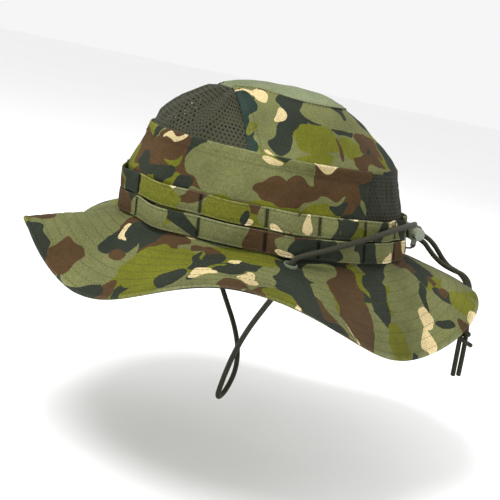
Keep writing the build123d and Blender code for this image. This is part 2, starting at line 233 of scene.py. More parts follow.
camera_data = bpy.data.cameras.new("studio_camera")
camera_data.lens = 67.9
camera_data.sensor_width = 36
camera_data.shift_x = -0.0526
camera_data.shift_y = -0.148
camera = link(bpy.data.objects.new("studio_camera", camera_data))
bpy.context.scene.camera = camera
azimuth, elevation, roll = math.radians(67.65), math.radians(7), math.radians(12.2)
towards = Vector((math.sin(azimuth) * math.cos(elevation), -math.cos(azimuth) * math.cos(elevation),
                  math.sin(elevation)))
rightward = Vector((math.cos(azimuth), math.sin(azimuth), 0))
upward = towards.cross(rightward)
camera_x = rightward * math.cos(roll) + upward * math.sin(roll)
camera_y = upward * math.cos(roll) - rightward * math.sin(roll)
stand = Vector((0, 0, 0.040)) + towards * 0.68
camera.matrix_world = Matrix((camera_x, camera_y, towards)).transposed().to_4x4()
camera.matrix_world.translation = stand

bpy.context.scene.view_settings.view_transform = "Standard"
world = bpy.data.worlds.new("studio_air")
bpy.context.scene.world = world
world.use_nodes = True
world.node_tree.nodes["Background"].inputs["Color"].default_value = (1.0, 1.0, 1.0, 1)
world.node_tree.nodes["Background"].inputs["Strength"].default_value = 0.92


def softbox(name, place, size, power):
    lamp = bpy.data.lights.new(name, "AREA")
    lamp.shape = "DISK"
    lamp.size = size
    lamp.energy = power
    lamp_holder = link(bpy.data.objects.new(name, lamp))
    lamp_holder.location = place
    aim = Vector((0, 0, 0.03)) - Vector(place)
    lamp_holder.rotation_euler = aim.to_track_quat("-Z", "Y").to_euler()


softbox("overhead_box", (0.30, -0.60, 1.30), 0.7, 17)
softbox("front_box", (1.20, -1.30, 0.80), 0.6, 6)
softbox("rear_box", (-0.5, 1.3, 0.9), 0.8, 5)

floor_mesh = bpy.data.meshes.new("studio_floor")
floor_mesh.from_pydata([(-9, -9, -0.16), (9, -9, -0.16), (9, 9, -0.16), (-9, 9, -0.16)], [],
                       [(0, 1, 2, 3)])
floor = link(bpy.data.objects.new("studio_floor", floor_mesh))
paper, join, shader, links = finish_material("pale_paper", 0.9)
grain = join("ShaderNodeTexNoise", {"Scale": 30.0, "Detail": 3.0})
tone = join("ShaderNodeMapRange", {0: grain.outputs["Fac"], 3: 0.93, 4: 0.96})
links.new(tone.outputs[0], shader.inputs["Base Color"])
floor_mesh.materials.append(paper)
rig.stage(floor)


# Camouflage cloth. A tightly woven cotton and nylon print in sage, lime, brown, charcoal and tan,
# with crisp edges. Every panel is cut from another part of the cloth, so the print breaks at seams.
CAMO = {
    "sage": (0.122, 0.128, 0.048, 1),
    "lime": (0.108, 0.114, 0.010, 1),
    "brown": (0.060, 0.034, 0.014, 1),
    "charcoal": (0.020, 0.025, 0.017, 1),
    "teal": (0.014, 0.028, 0.021, 1),
    "tan": (0.500, 0.400, 0.205, 1),
}
PATCH_WARP = 0.010


def mixed(join, factor, first, second):
    return join("ShaderNodeMix", {0: factor, 6: first, 7: second}, data_type="RGBA").outputs[2]


def noise_of(join, place, scale, detail):
    return join("ShaderNodeTexNoise", {"Vector": place, "Scale": scale,
                                       "Detail": detail}).outputs["Fac"]


def ranged(join, value, low, high, start=0.0, end=1.0):
    return join("ShaderNodeMapRange", {0: value, 1: start, 2: end, 3: low, 4: high}).outputs[0]


def product(join, first, second):
    return join("ShaderNodeMath", {0: first, 1: second}, operation="MULTIPLY").outputs[0]


def toned(join, colour, value):
    return join("ShaderNodeHueSaturation", {"Value": value, "Color": colour}).outputs[0]


def bumped(join, height, strength, distance, base=None):
    settings = {"Height": height, "Strength": strength, "Distance": distance}
    if base:
        settings["Normal"] = base
    return join("ShaderNodeBump", settings).outputs[0]


def dress(shader, links, **sockets):
    """Join colour, normal and roughness to the shader inputs that they name."""
    for name, socket in sockets.items():
        links.new(socket, shader.inputs[name.replace("_", " ")])


def woven_surface(join, shader, links, colour, yarn, relief):
    """Yarns, slubs, uneven fading and paler worn edges, laid over a colour."""
    cut = join("ShaderNodeUVMap", uv_map="cloth").outputs[0]
    place = join("ShaderNodeTexCoord").outputs["Object"]
    warp, weft = [join("ShaderNodeTexWave", {"Vector": cut, "Scale": 0.314 / yarn},
                       bands_direction=way).outputs["Fac"] for way in "XY"]
    slub = noise_of(join, place, 900.0, 2.0)
    fade = noise_of(join, place, 24.0, 4.0)
    tone = product(join, ranged(join, slub, 0.80, 1.20, 0.3, 0.7),
                   ranged(join, fade, 0.74, 1.22, 0.3, 0.7))
    printed = toned(join, colour, tone)
    worn = join("ShaderNodeAttribute", attribute_name="wear").outputs["Fac"]
    pale = join("ShaderNodeHueSaturation",
                {"Saturation": 0.75, "Value": 1.75, "Color": printed}).outputs[0]
    rumple = join("ShaderNodeTexNoise", {"Vector": place, "Scale": 110.0, "Detail": 4.0,
                                         "Distortion": 0.6}).outputs["Fac"]
    weave = bumped(join, product(join, warp, weft), 0.35, relief)
    dress(shader, links, Base_Color=mixed(join, product(join, worn, slub), printed, pale),
          Normal=bumped(join, rumple, 0.55, 0.0022, weave),
          Roughness=ranged(join, slub, 0.72, 0.95))


def camouflage(name, shift, patches=()):
    """Printed cloth; patches are (colour, centre, half sizes) in mm, painted over a loose print."""
    material, join, shader, links = finish_material(name, 0.85, 0.0, 0.1)
    place = join("ShaderNodeTexCoord").outputs["Object"]
    wander = join("ShaderNodeTexNoise", {"Vector": place, "Scale": 48.0, "Detail": 1.0,
                                         "Roughness": 0.5})
    pushed = join("ShaderNodeVectorMath", {0: wander.outputs["Color"], 1: (-0.5, -0.5, -0.5)},
                  operation="ADD")
    swayed = join("ShaderNodeVectorMath",
                  {0: pushed.outputs[0], 1: (PATCH_WARP * 2,) * 3, 2: place},
                  operation="MULTIPLY_ADD").outputs[0]
    loose = join("ShaderNodeVectorMath", {0: swayed, 1: shift}, operation="ADD").outputs[0]
    colour = CAMO["sage"]
    for shade, size, level, stretch in [
        ("lime", 19.0, 0.53, (1.0, 0.8, 1.4)), ("brown", 21.0, 0.585, (0.8, 1.0, 1.5)),
        ("charcoal", 24.0, 0.57, (1.2, 0.8, 1.3)), ("tan", 40.0, 0.69, (0.9, 1.2, 1.1)),
    ]:
        spread = join("ShaderNodeVectorMath", {0: loose, 1: stretch}, operation="MULTIPLY")
        cloud = join("ShaderNodeTexNoise",
                     {"Vector": spread.outputs[0], "Scale": size, "Detail": 1.0, "W": size},
                     noise_dimensions="4D")
        mask = join("ShaderNodeMath", {0: cloud.outputs["Fac"], 1: level},
                    operation="GREATER_THAN")
        colour = mixed(join, mask.outputs[0], colour, CAMO[shade])
    for shade, centre, half in patches:
        grow = tuple(1000 / size for size in half)
        back = tuple(-spot / size for spot, size in zip(centre, half))
        local = join("ShaderNodeVectorMath", {0: swayed, 1: grow, 2: back},
                     operation="MULTIPLY_ADD")
        reach = join("ShaderNodeVectorMath", {0: local.outputs[0]}, operation="LENGTH")
        mask = join("ShaderNodeMath", {0: reach.outputs["Value"], 1: 1.0}, operation="LESS_THAN")
        colour = mixed(join, mask.outputs[0], colour, CAMO[shade])
    woven_surface(join, shader, links, colour, 0.00045, 0.00012)
    return material


# Crown wall. The lower crown is one strip of camouflage cloth from temple to temple; its top edge
# is turned under and topstitched over the upper panels, and the cloth wrinkles softly.
CROWN = [(0.0, 0.084, 0.104, 0.0), (0.031, 0.083, 0.102, -0.0045),
         (0.062, 0.079, 0.091, -0.0046), (0.081, 0.060, 0.070, -0.0058),
         (0.097, 0.0395, 0.0465, -0.0074)]
HALF_WIDTH, HALF_LENGTH = 0.084, 0.104
SHOULDER = 0.062
CROWN_TOP = 0.097
REAR_SEAM = 0.038
FRONT_SEAM = -0.051
HEM, HEM_ROW = 0.0068, 0.0014


def crown_oval(level):
    """Half width, half length and middle of the crown at a level."""
    if level <= SHOULDER:
        low, high = (CROWN[0], CROWN[1]) if level <= CROWN[1][0] else (CROWN[1], CROWN[2])
        share = (level - low[0]) / (high[0] - low[0])
        return [low[k] + (high[k] - low[k]) * share for k in (1, 2, 3)]
    a, b, c = CROWN[2:]
    to_a = (level - b[0]) * (level - c[0]) / ((a[0] - b[0]) * (a[0] - c[0]))
    to_b = (level - a[0]) * (level - c[0]) / ((b[0] - a[0]) * (b[0] - c[0]))
    to_c = (level - a[0]) * (level - b[0]) / ((c[0] - a[0]) * (c[0] - b[0]))
    return [a[k] * to_a + b[k] * to_b + c[k] * to_c for k in (1, 2, 3)]


def on_crown(level, station):
    half_width, half_length, middle = crown_oval(level)
    turn = math.radians(station)
    return Vector((half_width * math.sin(turn), middle - half_length * math.cos(turn), level))


def crown_point(level, station, outward=0.0):
    """A point on the crown at a level and a station in degrees from the front, moved outward."""
    point = on_crown(level, station)
    step = 0.0004 if level < CROWN_TOP - 0.001 else -0.0004
    rise = (on_crown(level + step, station) - point) / step
    round_it = on_crown(level, station + 0.5) - on_crown(level, station - 0.5)
    return point + round_it.cross(rise).normalized() * outward


def seam_station(level, seam):
    """The station where the crown crosses a plane across the hat."""
    half_width, half_length, middle = crown_oval(level)
    return math.degrees(math.acos(max(-1, min(1, (middle - seam) / half_length))))


def smooth(share):
    share = max(0.0, min(1.0, share))
    return share * share * (3 - 2 * share)


def cloth_grid(name, columns, rows, place, closed=False, upside=False, wear=None, holes=()):
    """A sheet of quads. place(u, v) gives each point, u round the hat and v across the cloth."""
    across = columns if closed else columns + 1
    points = [place(i / columns, j / rows) for j in range(rows + 1) for i in range(across)]
    moved = set()
    for hole_x, hole_y, radius in holes:
        for index, point in enumerate(points):
            gap = Vector((point.x - hole_x, point.y - hole_y))
            if gap.length < radius:
                gap = gap.normalized() * radius
                points[index] = Vector((hole_x + gap.x, hole_y + gap.y, point.z))
                moved.add(index)
    faces, corners = [], []
    for j in range(rows):
        for i in range(columns):
            quad = [(i, j), (i + 1, j), (i + 1, j + 1), (i, j + 1)]
            if upside:
                quad.reverse()
            face = [row * across + column % across for column, row in quad]
            if not all(index in moved for index in face):
                faces.append(face)
                corners.extend(quad)
    middle_row = rows // 2 * across
    wide = sum((points[middle_row + i + 1] - points[middle_row + i]).length
               for i in range(across - 1)) / (across - 1)
    tall = sum((points[(j + 1) * across] - points[j * across]).length for j in range(rows)) / rows
    mesh = bpy.data.meshes.new(name)
    mesh.from_pydata(points, [], faces)
    chart = mesh.uv_layers.new(name="cloth")
    for loop, (column, row) in zip(chart.data, corners):
        loop.uv = (column * wide, row * tall)
    rub = mesh.attributes.new("wear", "FLOAT", "POINT")
    if wear:
        for index, entry in enumerate(rub.data):
            entry.value = wear(index % across / columns, index // across / rows)
    mesh.shade_smooth()
    return link(bpy.data.objects.new(name, mesh))


def seat(piece, body, node, slot):
    """Tie a piece to its body, to the node that it stands for and to its slot."""
    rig.ride(piece, body)
    if node:
        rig.replaces(piece, node)
    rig.slot(piece, slot)


def sew_in(piece, material, slot, node, thickness=0.0):
    """Give a cloth piece its thickness, its material and its place in the frame."""
    piece.data.materials.append(material)
    if thickness:
        ply = piece.modifiers.new("ply", "SOLIDIFY")
        ply.thickness = thickness
        ply.offset = -1
        ply.use_even_offset = True
    seat(piece, "hat", node, slot)


def wall_fold(level, station):
    """How far the wall's soft wrinkles stand out; the cloth lies flat at its seams."""
    point = on_crown(level, station)
    ease = smooth(level / 0.034 - 0.75) * smooth((SHOULDER - level) / 0.012)
    broad = noise.noise(Vector((point.x, point.y, point.z * 1.6)) / 0.027) * 0.0030
    crease = noise.noise(Vector((point.x + 0.3, point.y, point.z * 0.55)) / 0.011) * 0.0009
    return ease * (broad + crease)


def wall_cloth(u, v):
    level = v * SHOULDER
    station = (2 * u - 1) * seam_station(level, REAR_SEAM)
    below_top = SHOULDER - level
    fold = 0.0009 * smooth((HEM + 0.0006 - below_top) / 0.0008)
    groove = -0.00055 * math.exp(-((below_top - HEM + HEM_ROW) / 0.0005) ** 2)
    pucker = 0.00035 * noise.noise(Vector((station * 0.5, level * 260, 3.0)))
    pucker *= smooth((0.011 - below_top) / 0.006)
    return crown_point(level, station, wall_fold(level, station) + fold + groove + pucker)


wall_patches = [
    ("sage", (70, -55, 47), (30, 42, 16)),
    ("sage", (80, -12, 56), (30, 16, 8)),
    ("lime", (80, -20, 27), (30, 52, 8)),
    ("lime", (40, -88, 30), (16, 26, 8)),
    ("lime", (37, -87, 46), (7, 10, 6)),
    ("brown", (80, -28, 40), (30, 15, 6.5)),
    ("brown", (80, 6, 53), (30, 17, 9.5)),
    ("brown", (80, -12, 45), (30, 13, 5.5)),
    ("brown", (78, 24, 44), (30, 8, 12)),
    ("lime", (83, 4, 33), (30, 17, 6)),
    ("charcoal", (80, 16, 38), (30, 6, 4.5)),
    ("charcoal", (80, 30, 31), (30, 10, 8)),
    ("tan", (75, 1, 58.5), (30, 10, 2.6)),
    ("tan", (73, -34, 60), (30, 5.5, 3.2)),
    ("brown", (30, -91, 55), (20, 14, 9)),
    ("brown", (8, -96, 46), (11, 20, 12)),
    ("tan", (31, -87, 60), (11, 11, 1.8)),
    ("charcoal", (22, -97, 38), (16, 14, 5.5)),
    ("charcoal", (36, -91, 37), (6, 10, 8)),
    ("charcoal", (49, -83, 33.5), (5.5, 8, 4.5)),
]
wall_print = camouflage("wall_camouflage", (0.31, 0.12, 0.07), wall_patches)
wall_piece = cloth_grid("crown_wall_cloth", 300, 72, wall_cloth,
                        wear=lambda u, v: 0.7 * smooth((v - 0.985) * 70))
sew_in(wall_piece, wall_print, "camouflage_cloth", "front_wall", 0.0009)


# Upper side panels. Two curved camouflage panels close the crown from the front mesh to the back,
# joined down the back by a lapped seam and eased into the shoulder seam.
CLIMB = 0.88
FRONT_LAP, REAR_LAP = 0.052, 0.962


def upper_fold(level, station):
    point = on_crown(level, station)
    ease = smooth((level - SHOULDER) / 0.010) * smooth((CROWN_TOP - level) / 0.008)
    broad = noise.noise(Vector((point.x, point.y + 0.7, point.z)) / 0.024) * 0.0024
    crease = noise.noise(Vector((point.x * 0.6, point.y, point.z + 0.2)) / 0.010) * 0.0007
    return ease * (broad + crease)


def dome_point(station, share):
    """A point of the puffed top at a station and a share of the way out from its middle."""
    half_width, half_length, middle = crown_oval(CROWN_TOP)
    turn = math.radians(station)
    return Vector((share * half_width * math.sin(turn),
                   middle - share * half_length * math.cos(turn),
                   CROWN_TOP + 0.0070 * (1 - share ** 2.6)))


def top_seam_share(station):
    """The top seam climbs on to the puffed top at the front quarters."""
    turn = abs((station + 180) % 360 - 180)
    return 1 - 0.17 * math.exp(-((turn - 48) / 26) ** 2)


def side_cloth(side):
    def place(u, v):
        if v > CLIMB:
            first = seam_station(CROWN_TOP, FRONT_SEAM)
            station = (first + (180 - first) * u) * side
            climbed = (v - CLIMB) / (1 - CLIMB)
            share = 1 - (1 - top_seam_share(station)) * climbed
            return dome_point(station, share) + Vector((0, 0, 0.0004 + 0.0006 * climbed))
        v = v / CLIMB
        level = SHOULDER - 0.0012 + v * (CROWN_TOP - SHOULDER + 0.0012)
        first = seam_station(max(level, SHOULDER), FRONT_SEAM)
        station = first + (180 - first) * u
        near_front = smooth((0.05 - u) / 0.045)
        lap = 0.0006 * near_front + 0.0004 * smooth((u - 0.955) / 0.02)
        groove = -0.0003 * math.exp(-((u - FRONT_LAP) / 0.006) ** 2)
        under = -0.0004 * smooth((SHOULDER + 0.0008 - level) / 0.0016)
        outward = upper_fold(level, station * side) + lap + groove + under
        return crown_point(level, station * side, outward)
    return place


upper_patches = [
    ("sage", (44, -30, 90), (22, 16, 14)),
    ("teal", (40, -51, 86), (24, 7.5, 20)),
    ("teal", (62, -47, 68), (16, 7.5, 10)),
    ("sage", (56, -36, 72), (16, 5, 12)),
    ("lime", (60, -44, 73.5), (16, 2.4, 5.5)),
    ("charcoal", (43, -16, 92), (20, 10, 10)),
    ("charcoal", (62, -26, 74), (18, 8, 11)),
    ("charcoal", (53, -20, 83), (18, 9.5, 11)),
    ("lime", (64, -2, 75), (20, 15, 10.5)),
    ("lime", (62, 22, 73), (18, 9.5, 6.5)),
    ("sage", (44, 6, 91), (20, 17, 7)),
    ("sage", (40, 30, 89), (20, 12, 6)),
    ("charcoal", (52, 18, 83.5), (14, 11, 2.8)),
    ("brown", (48, 40, 77), (18, 15, 8.5)),
    ("brown", (60, 36, 67), (18, 16, 5)),
    ("brown", (64, 13, 70), (18, 2, 8)),
    ("charcoal", (52, 38, 73.5), (12, 3, 2.6)),
    ("charcoal", (34, 64, 70), (22, 11, 14)),
    ("tan", (31.5, -37, 96.5), (10, 6.2, 5)),
    ("tan", (50, -29, 86), (8, 5.6, 5.8)),
]
for name, side, node in [("left_upper_cloth", 1, "left_upper_panel"),
                         ("right_upper_cloth", -1, "right_upper_panel")]:
    side_print = camouflage(name + "_print", (0.55 * side, 0.4, 0.21), upper_patches)
    side_piece = cloth_grid(name, 150, 50, side_cloth(side), upside=side < 0,
                            wear=lambda u, v: 0.5 * smooth((0.05 - u) * 60))
    sew_in(side_piece, side_print, "camouflage_cloth", node, 0.0009)


# Perforated mesh. The front of the upper crown and the back of the lower crown are an olive-grey
# knitted mesh with small round holes in a staggered grid; the holes are real ones.
def mesh_knit(name, colour, shine):
    material, join, shader, links = finish_material(name, 0.7, 0.0, 0.15)
    place = join("ShaderNodeTexCoord").outputs["Object"]
    knit = noise_of(join, place, 1500.0, 2.0)
    fade = noise_of(join, place, 60.0, 3.0)
    tone = product(join, ranged(join, knit, 0.72, 1.28), ranged(join, fade, 0.8, 1.2))
    dress(shader, links, Base_Color=toned(join, colour, tone),
          Normal=bumped(join, knit, 0.5, 0.00025), Roughness=ranged(join, knit, shine, 0.95))
    return material


def tree_with(name, sockets):
    """An empty geometry tree with a cloth or thread input and named sizes."""
    tree = bpy.data.node_groups.new(name, "GeometryNodeTree")
    tree.interface.new_socket("Geometry", in_out="INPUT", socket_type="NodeSocketGeometry")
    for socket, kind in sockets:
        tree.interface.new_socket(socket, in_out="INPUT", socket_type=kind)
    tree.interface.new_socket("Geometry", in_out="OUTPUT", socket_type="NodeSocketGeometry")
    return tree, joiner(tree), tree.nodes.new("NodeGroupInput").outputs


def end_tree(join, made, material):
    """Close a tree with real geometry in the given material."""
    realized = join("GeometryNodeRealizeInstances", {"Geometry": made})
    painted = join("GeometryNodeSetMaterial", {"Geometry": realized.outputs[0],
                                               "Material": material})
    join("NodeGroupOutput", {0: painted.outputs[0]})


def made_by(tree, name, base, sizes):
    """Run a geometry tree on a base mesh and keep the plain mesh that comes out."""
    holder = link(bpy.data.objects.new(name, base))
    maker = holder.modifiers.new("maker", "NODES")
    maker.node_group = tree
    for item in tree.interface.items_tree:
        if item.in_out == "INPUT" and item.name in sizes:
            maker[item.identifier] = sizes[item.name]
    graph = bpy.context.evaluated_depsgraph_get()
    plain = bpy.data.meshes.new_from_object(holder.evaluated_get(graph))
    holder.modifiers.remove(maker)
    holder.data = plain
    plain.name = name
    return holder


perforator, join, given = tree_with("perforated_cloth", [
    ("Hole Share", "NodeSocketFloat"), ("Cloth Material", "NodeSocketMaterial")])
inset = join("GeometryNodeExtrudeMesh", {"Mesh": given["Geometry"], "Offset Scale": 0.0})
shrunk = join("GeometryNodeScaleElements", {
    "Geometry": inset.outputs["Mesh"], "Selection": inset.outputs["Top"],
    "Scale": given["Hole Share"]})
opened = join("GeometryNodeDeleteGeometry", {
    "Geometry": shrunk.outputs[0], "Selection": inset.outputs["Top"]}, domain="FACE")
end_tree(join, opened.outputs[0], given["Cloth Material"])


def honeycomb(name, columns, rows, place):
    """Six-sided cells in staggered rows, laid on a surface by place(u, v)."""
    def spot(k, j):
        zigzag = 0.167 if (k + j) % 2 == 0 else -0.167
        if j in (0, rows):
            zigzag = 0.0
        return place(k / (2 * columns), (j + zigzag) / rows)
    line = 2 * columns + 1
    points = [spot(k, j) for j in range(rows + 1) for k in range(line)]
    faces = []
    for j in range(rows):
        for k in range(j % 2, 2 * columns - 1, 2):
            low, high = j * line + k, (j + 1) * line + k
            faces.append([low, low + 1, low + 2, high + 2, high + 1, high])
        if j % 2:
            for k in (0, 2 * columns - 1):
                low, high = j * line + k, (j + 1) * line + k
                faces.append([low, low + 1, high + 1, high])
    base = bpy.data.meshes.new(name)
    base.from_pydata(points, [], faces)
    return base


def rear_mesh_cloth(u, v):
    level = max(0.0, min(SHOULDER, v * SHOULDER))
    side = seam_station(level, REAR_SEAM) - 1.2
    station = side + (360 - 2 * side) * u
    point = on_crown(level, station)
    ease = smooth((level - 0.028) / 0.012) * smooth((SHOULDER - level) / 0.010)
    sag = noise.noise(Vector((point.x * 2.2, point.y, point.z * 0.7)) / 0.030) * 0.0018
    sag += 0.0007 * math.sin(math.radians(station * 70)) * noise.noise(point / 0.014)
    return crown_point(level, station, ease * sag - 0.0004)


def front_mesh_cloth(u, v):
    level = SHOULDER - 0.0012 + v * (CROWN_TOP - SHOULDER + 0.0012)
    side = seam_station(max(level, SHOULDER), FRONT_SEAM) + 0.8
    station = (2 * u - 1) * side
    share = (level - SHOULDER) / (CROWN_TOP - SHOULDER)
    ease = smooth(share * 5) * smooth((1.02 - share) * 6) * smooth((1 - abs(2 * u - 1)) * 9)
    fold = 0.0
    for foot, lean, height, width in [(16, 13, 0.0020, 3.0), (27, 13, -0.0022, 3.2),
                                      (38, 9, 0.0020, 2.8), (-20, -10, 0.0018, 3.4),
                                      (-34, -12, -0.0020, 3.2), (-45, -8, 0.0014, 2.6),
                                      (2, -6, -0.0014, 4.0)]:
        fold += 1.5 * height * math.exp(-((station - foot + lean * share * 0.6) / width) ** 2)
    point = on_crown(level, station)
    fold += noise.noise(Vector((point.x, point.y, point.z + 0.5)) / 0.020) * 0.0010
    fold += 0.0026 * math.sin(math.pi * share) * math.exp(-(station / 45) ** 2)
    return crown_point(level, station, ease * fold - 0.0004)


# The back mesh is the same olive-grey knit as the front; its darker colour is painted shade.
knit_rear = mesh_knit("rear_knit", (0.022, 0.023, 0.014, 1), 0.60)
knit_front = mesh_knit("front_knit", (0.040, 0.041, 0.025, 1), 0.55)
for name, base, material, node, share in [
    ("rear_mesh_cloth", honeycomb("rear_cells", 58, 24, rear_mesh_cloth), knit_rear,
     "rear_mesh", 0.30),
    ("front_mesh_cloth", honeycomb("front_cells", 52, 17, front_mesh_cloth), knit_front,
     "front_mesh", 0.46),
]:
    piece = made_by(perforator, name, base, {"Hole Share": share, "Cloth Material": material})
    piece.data.shade_smooth()
    ply = piece.modifiers.new("ply", "SOLIDIFY")
    ply.thickness = 0.00055
    ply.offset = -1
    seat(piece, "hat", node, "mesh_cloth")


# Top panel. A plain sage brushed cloth over thin wadding closes the crown; it puffs up softly
# from its seam.
def brushed_cloth(name, colour, relief=0.0004):
    material, join, shader, links = finish_material(name, 0.9, 0.05, 0.1)
    woven_surface(join, shader, links, colour, 0.0006, relief)
    return material


def top_cloth(u, v):
    station = 360 * u
    share = 1 - v
    spot = dome_point(station, share)
    dimple = noise.noise(spot / 0.018 + Vector((5, 2, 1))) * 0.0016 * smooth((1 - share) * 4)
    gather = math.sin(station * 0.55) * math.cos(math.radians(station * 3))
    edge = smooth((top_seam_share(station) - share) / 0.05)
    gathers = 0.0005 * gather * smooth((share - 0.6) / 0.2) * edge
    return spot + Vector((0, 0, dimple * edge + gathers + 0.0012 * edge - 0.0002))


top_print = brushed_cloth("sage_brushed_cloth", (0.150, 0.172, 0.092, 1))
top_piece = cloth_grid("top_panel_cloth", 160, 40, top_cloth, closed=True)
sew_in(top_piece, top_print, "pale_cloth", "top_panel", 0.0009)


# Inside the crown: binding tapes over the shoulder and top seams, a turned sweatband of soft
# lining cloth round the head opening, a blank care label and a bound edge where the brim is sewn.
lining = brushed_cloth("dark_lining_cloth", (0.050, 0.052, 0.030, 1))
tape_weave = brushed_cloth("seam_tape_cloth", (0.075, 0.078, 0.045, 1), 0.0002)
label_weave = brushed_cloth("blank_label_cloth", (0.55, 0.54, 0.48, 1), 0.0001)


def inner_ring(name, low, high, inward, thickness, material, slot, node, rows=6, ripple=0.0):
    """A band of cloth round the inside of the crown, between two levels."""
    def place(u, v):
        level = low + (high - low) * v
        edge = smooth(min(v, 1 - v) * 8)
        station = -360 * u
        wave = ripple * noise.noise(Vector((math.sin(math.radians(station)) * 6,
                                            math.cos(math.radians(station)) * 6, level * 90)))
        return crown_point(level, station, -inward + wave * edge - 0.0002 * edge)
    band = cloth_grid(name, 240, rows, place, closed=True,
                      wear=lambda u, v: 0.5 * smooth((abs(2 * v - 1) - 0.85) * 7))
    sew_in(band, material, slot, node, thickness)


inner_ring("sweatband_cloth", 0.0006, 0.0304, 0.0024, -0.0012, lining, "lining_cloth",
           "sweatband", 14, 0.0005)
inner_ring("shoulder_tape_cloth", 0.054, 0.0616, 0.0018, -0.0007, tape_weave, "lining_cloth",
           "shoulder_seam_tape", 6, 0.0002)
inner_ring("top_tape_cloth", 0.0931, 0.0968, 0.0018, -0.0007, tape_weave, "lining_cloth",
           "top_seam_tape", 5)


def label_cloth(u, v):
    across = (u - 0.5) * 0.031
    level = 0.0082 + 0.0150 * v
    half_width, half_length, middle = crown_oval(level)
    back = middle + half_length * math.sqrt(1 - (across / half_width) ** 2)
    curl = 0.0003 * math.cos(math.pi * (2 * u - 1) * 1.5) * (2 * v - 1) ** 2
    return Vector((across, back - 0.0030 - curl, level))


label = cloth_grid("care_label_cloth", 36, 16, label_cloth)
sew_in(label, label_weave, "label_cloth", "care_label", 0.0003)


def bound_edge(u, v):
    """The binding's rounded section, folded under the brim's root."""
    station = -360 * u
    turn = 2 * math.pi * v
    across, high = math.cos(turn), math.sin(turn)
    reach = 0.0011 + 0.00105 * math.copysign(abs(across) ** 0.6, across)
    level = -0.0010 + 0.00098 * math.copysign(abs(high) ** 0.6, high)
    turn = math.radians(station)
    return Vector(((HALF_WIDTH - reach) * math.sin(turn), -(HALF_LENGTH - reach) * math.cos(turn),
                   level))


binding = cloth_grid("head_binding_cloth", 240, 14, bound_edge, closed=True)
sew_in(binding, tape_weave, "lining_cloth", "head_seam_tape")


# Brim. Two camouflage plies over a stiff interlining, quilted with rows of stitching that follow
# the edge. It droops at the front and rear quarters, lifts at the sides and the back, and its
# right front hangs a little lower than its left.
BRIM_WIDTH = 0.067
BRIM_STACK = 0.0020
DROOP = [(0, 12), (24, 40), (66, 7), (124, 48), (166, 15), (180, 15)]
FAR_SAG = 6.0
FAR_SAG_STATION = 62
FAR_SAG_SPREAD = 14
EYELET_X, EYELET_Y, EYELET_BORE, EYELET_OUTER = 0.091851, -0.015458, 0.0032, 0.0048
brim_rows = [0.0050 + 0.0073 * row for row in range(9)]


def droop_at(station):
    turn = abs((station + 180) % 360 - 180)
    sag = 0
    if station % 360 > 180:
        sag = FAR_SAG * math.exp(-((turn - FAR_SAG_STATION) / FAR_SAG_SPREAD) ** 2)
    for (start, first), (end, last) in zip(DROOP, DROOP[1:]):
        if turn <= end:
            ease = (1 - math.cos(math.pi * (turn - start) / (end - start))) / 2
            return math.radians(first + (last - first) * ease + sag)
    return math.radians(DROOP[-1][1])


def brim_point(station, reach):
    """A point on the brim's top at a station and a reach out from the crown along the cloth."""
    turn = math.radians(station)
    normal = Vector((math.sin(turn) / HALF_WIDTH, -math.cos(turn) / HALF_LENGTH, 0)).normalized()
    droop = droop_at(station)
    root = Vector((HALF_WIDTH * math.sin(turn), -HALF_LENGTH * math.cos(turn), 0))
    return root + normal * (reach * math.cos(droop)) - Vector((0, 0, reach * math.sin(droop)))


def quilting(station, reach, seed):
    """How far the quilted cloth stands up between its stitch rows, with small puckers."""
    gap = min(abs(reach - row) for row in brim_rows)
    channel = -0.00036 * math.exp(-(gap / 0.0007) ** 2)
    turn = math.radians(station)
    along = Vector((math.sin(turn), math.cos(turn), 0)) * (0.10 + reach)
    pucker = noise.noise(along / 0.0065 + Vector((0, 0, reach / 0.012 + seed))) * 0.00036
    swell = noise.noise(along / 0.030 + Vector((0, 0, reach / 0.05 + seed))) * 0.0006
    edge = smooth((BRIM_WIDTH - reach) / 0.004) * smooth(reach / 0.004)
    return channel + (pucker * smooth(gap / 0.0016) + swell) * edge


def brim_cloth(side):
    """The top cloth (side 1) or the under cloth (side -1), its edge turned in to the middle."""
    def place(u, v):
        station = 360 * u
        reach = BRIM_WIDTH * v
        roll_in = max(0.0, (reach - BRIM_WIDTH + 0.0011) / 0.0011)
        drop = 0.00098 * (1 - math.sqrt(max(0.0, 1 - roll_in ** 2)))
        base = 0.0 if side > 0 else -BRIM_STACK
        seed = 0.0 if side > 0 else 9.0
        lift = quilting(station, reach, seed) * (1 - min(1, roll_in)) - drop
        return brim_point(station, reach) + Vector((0, 0, base + side * lift))
    return place


def brim_spot(station, reach):
    """Where a printed patch lies on the brim, in millimetres, for its station and reach."""
    return tuple(1000 * brim_point(station, reach / 1000))


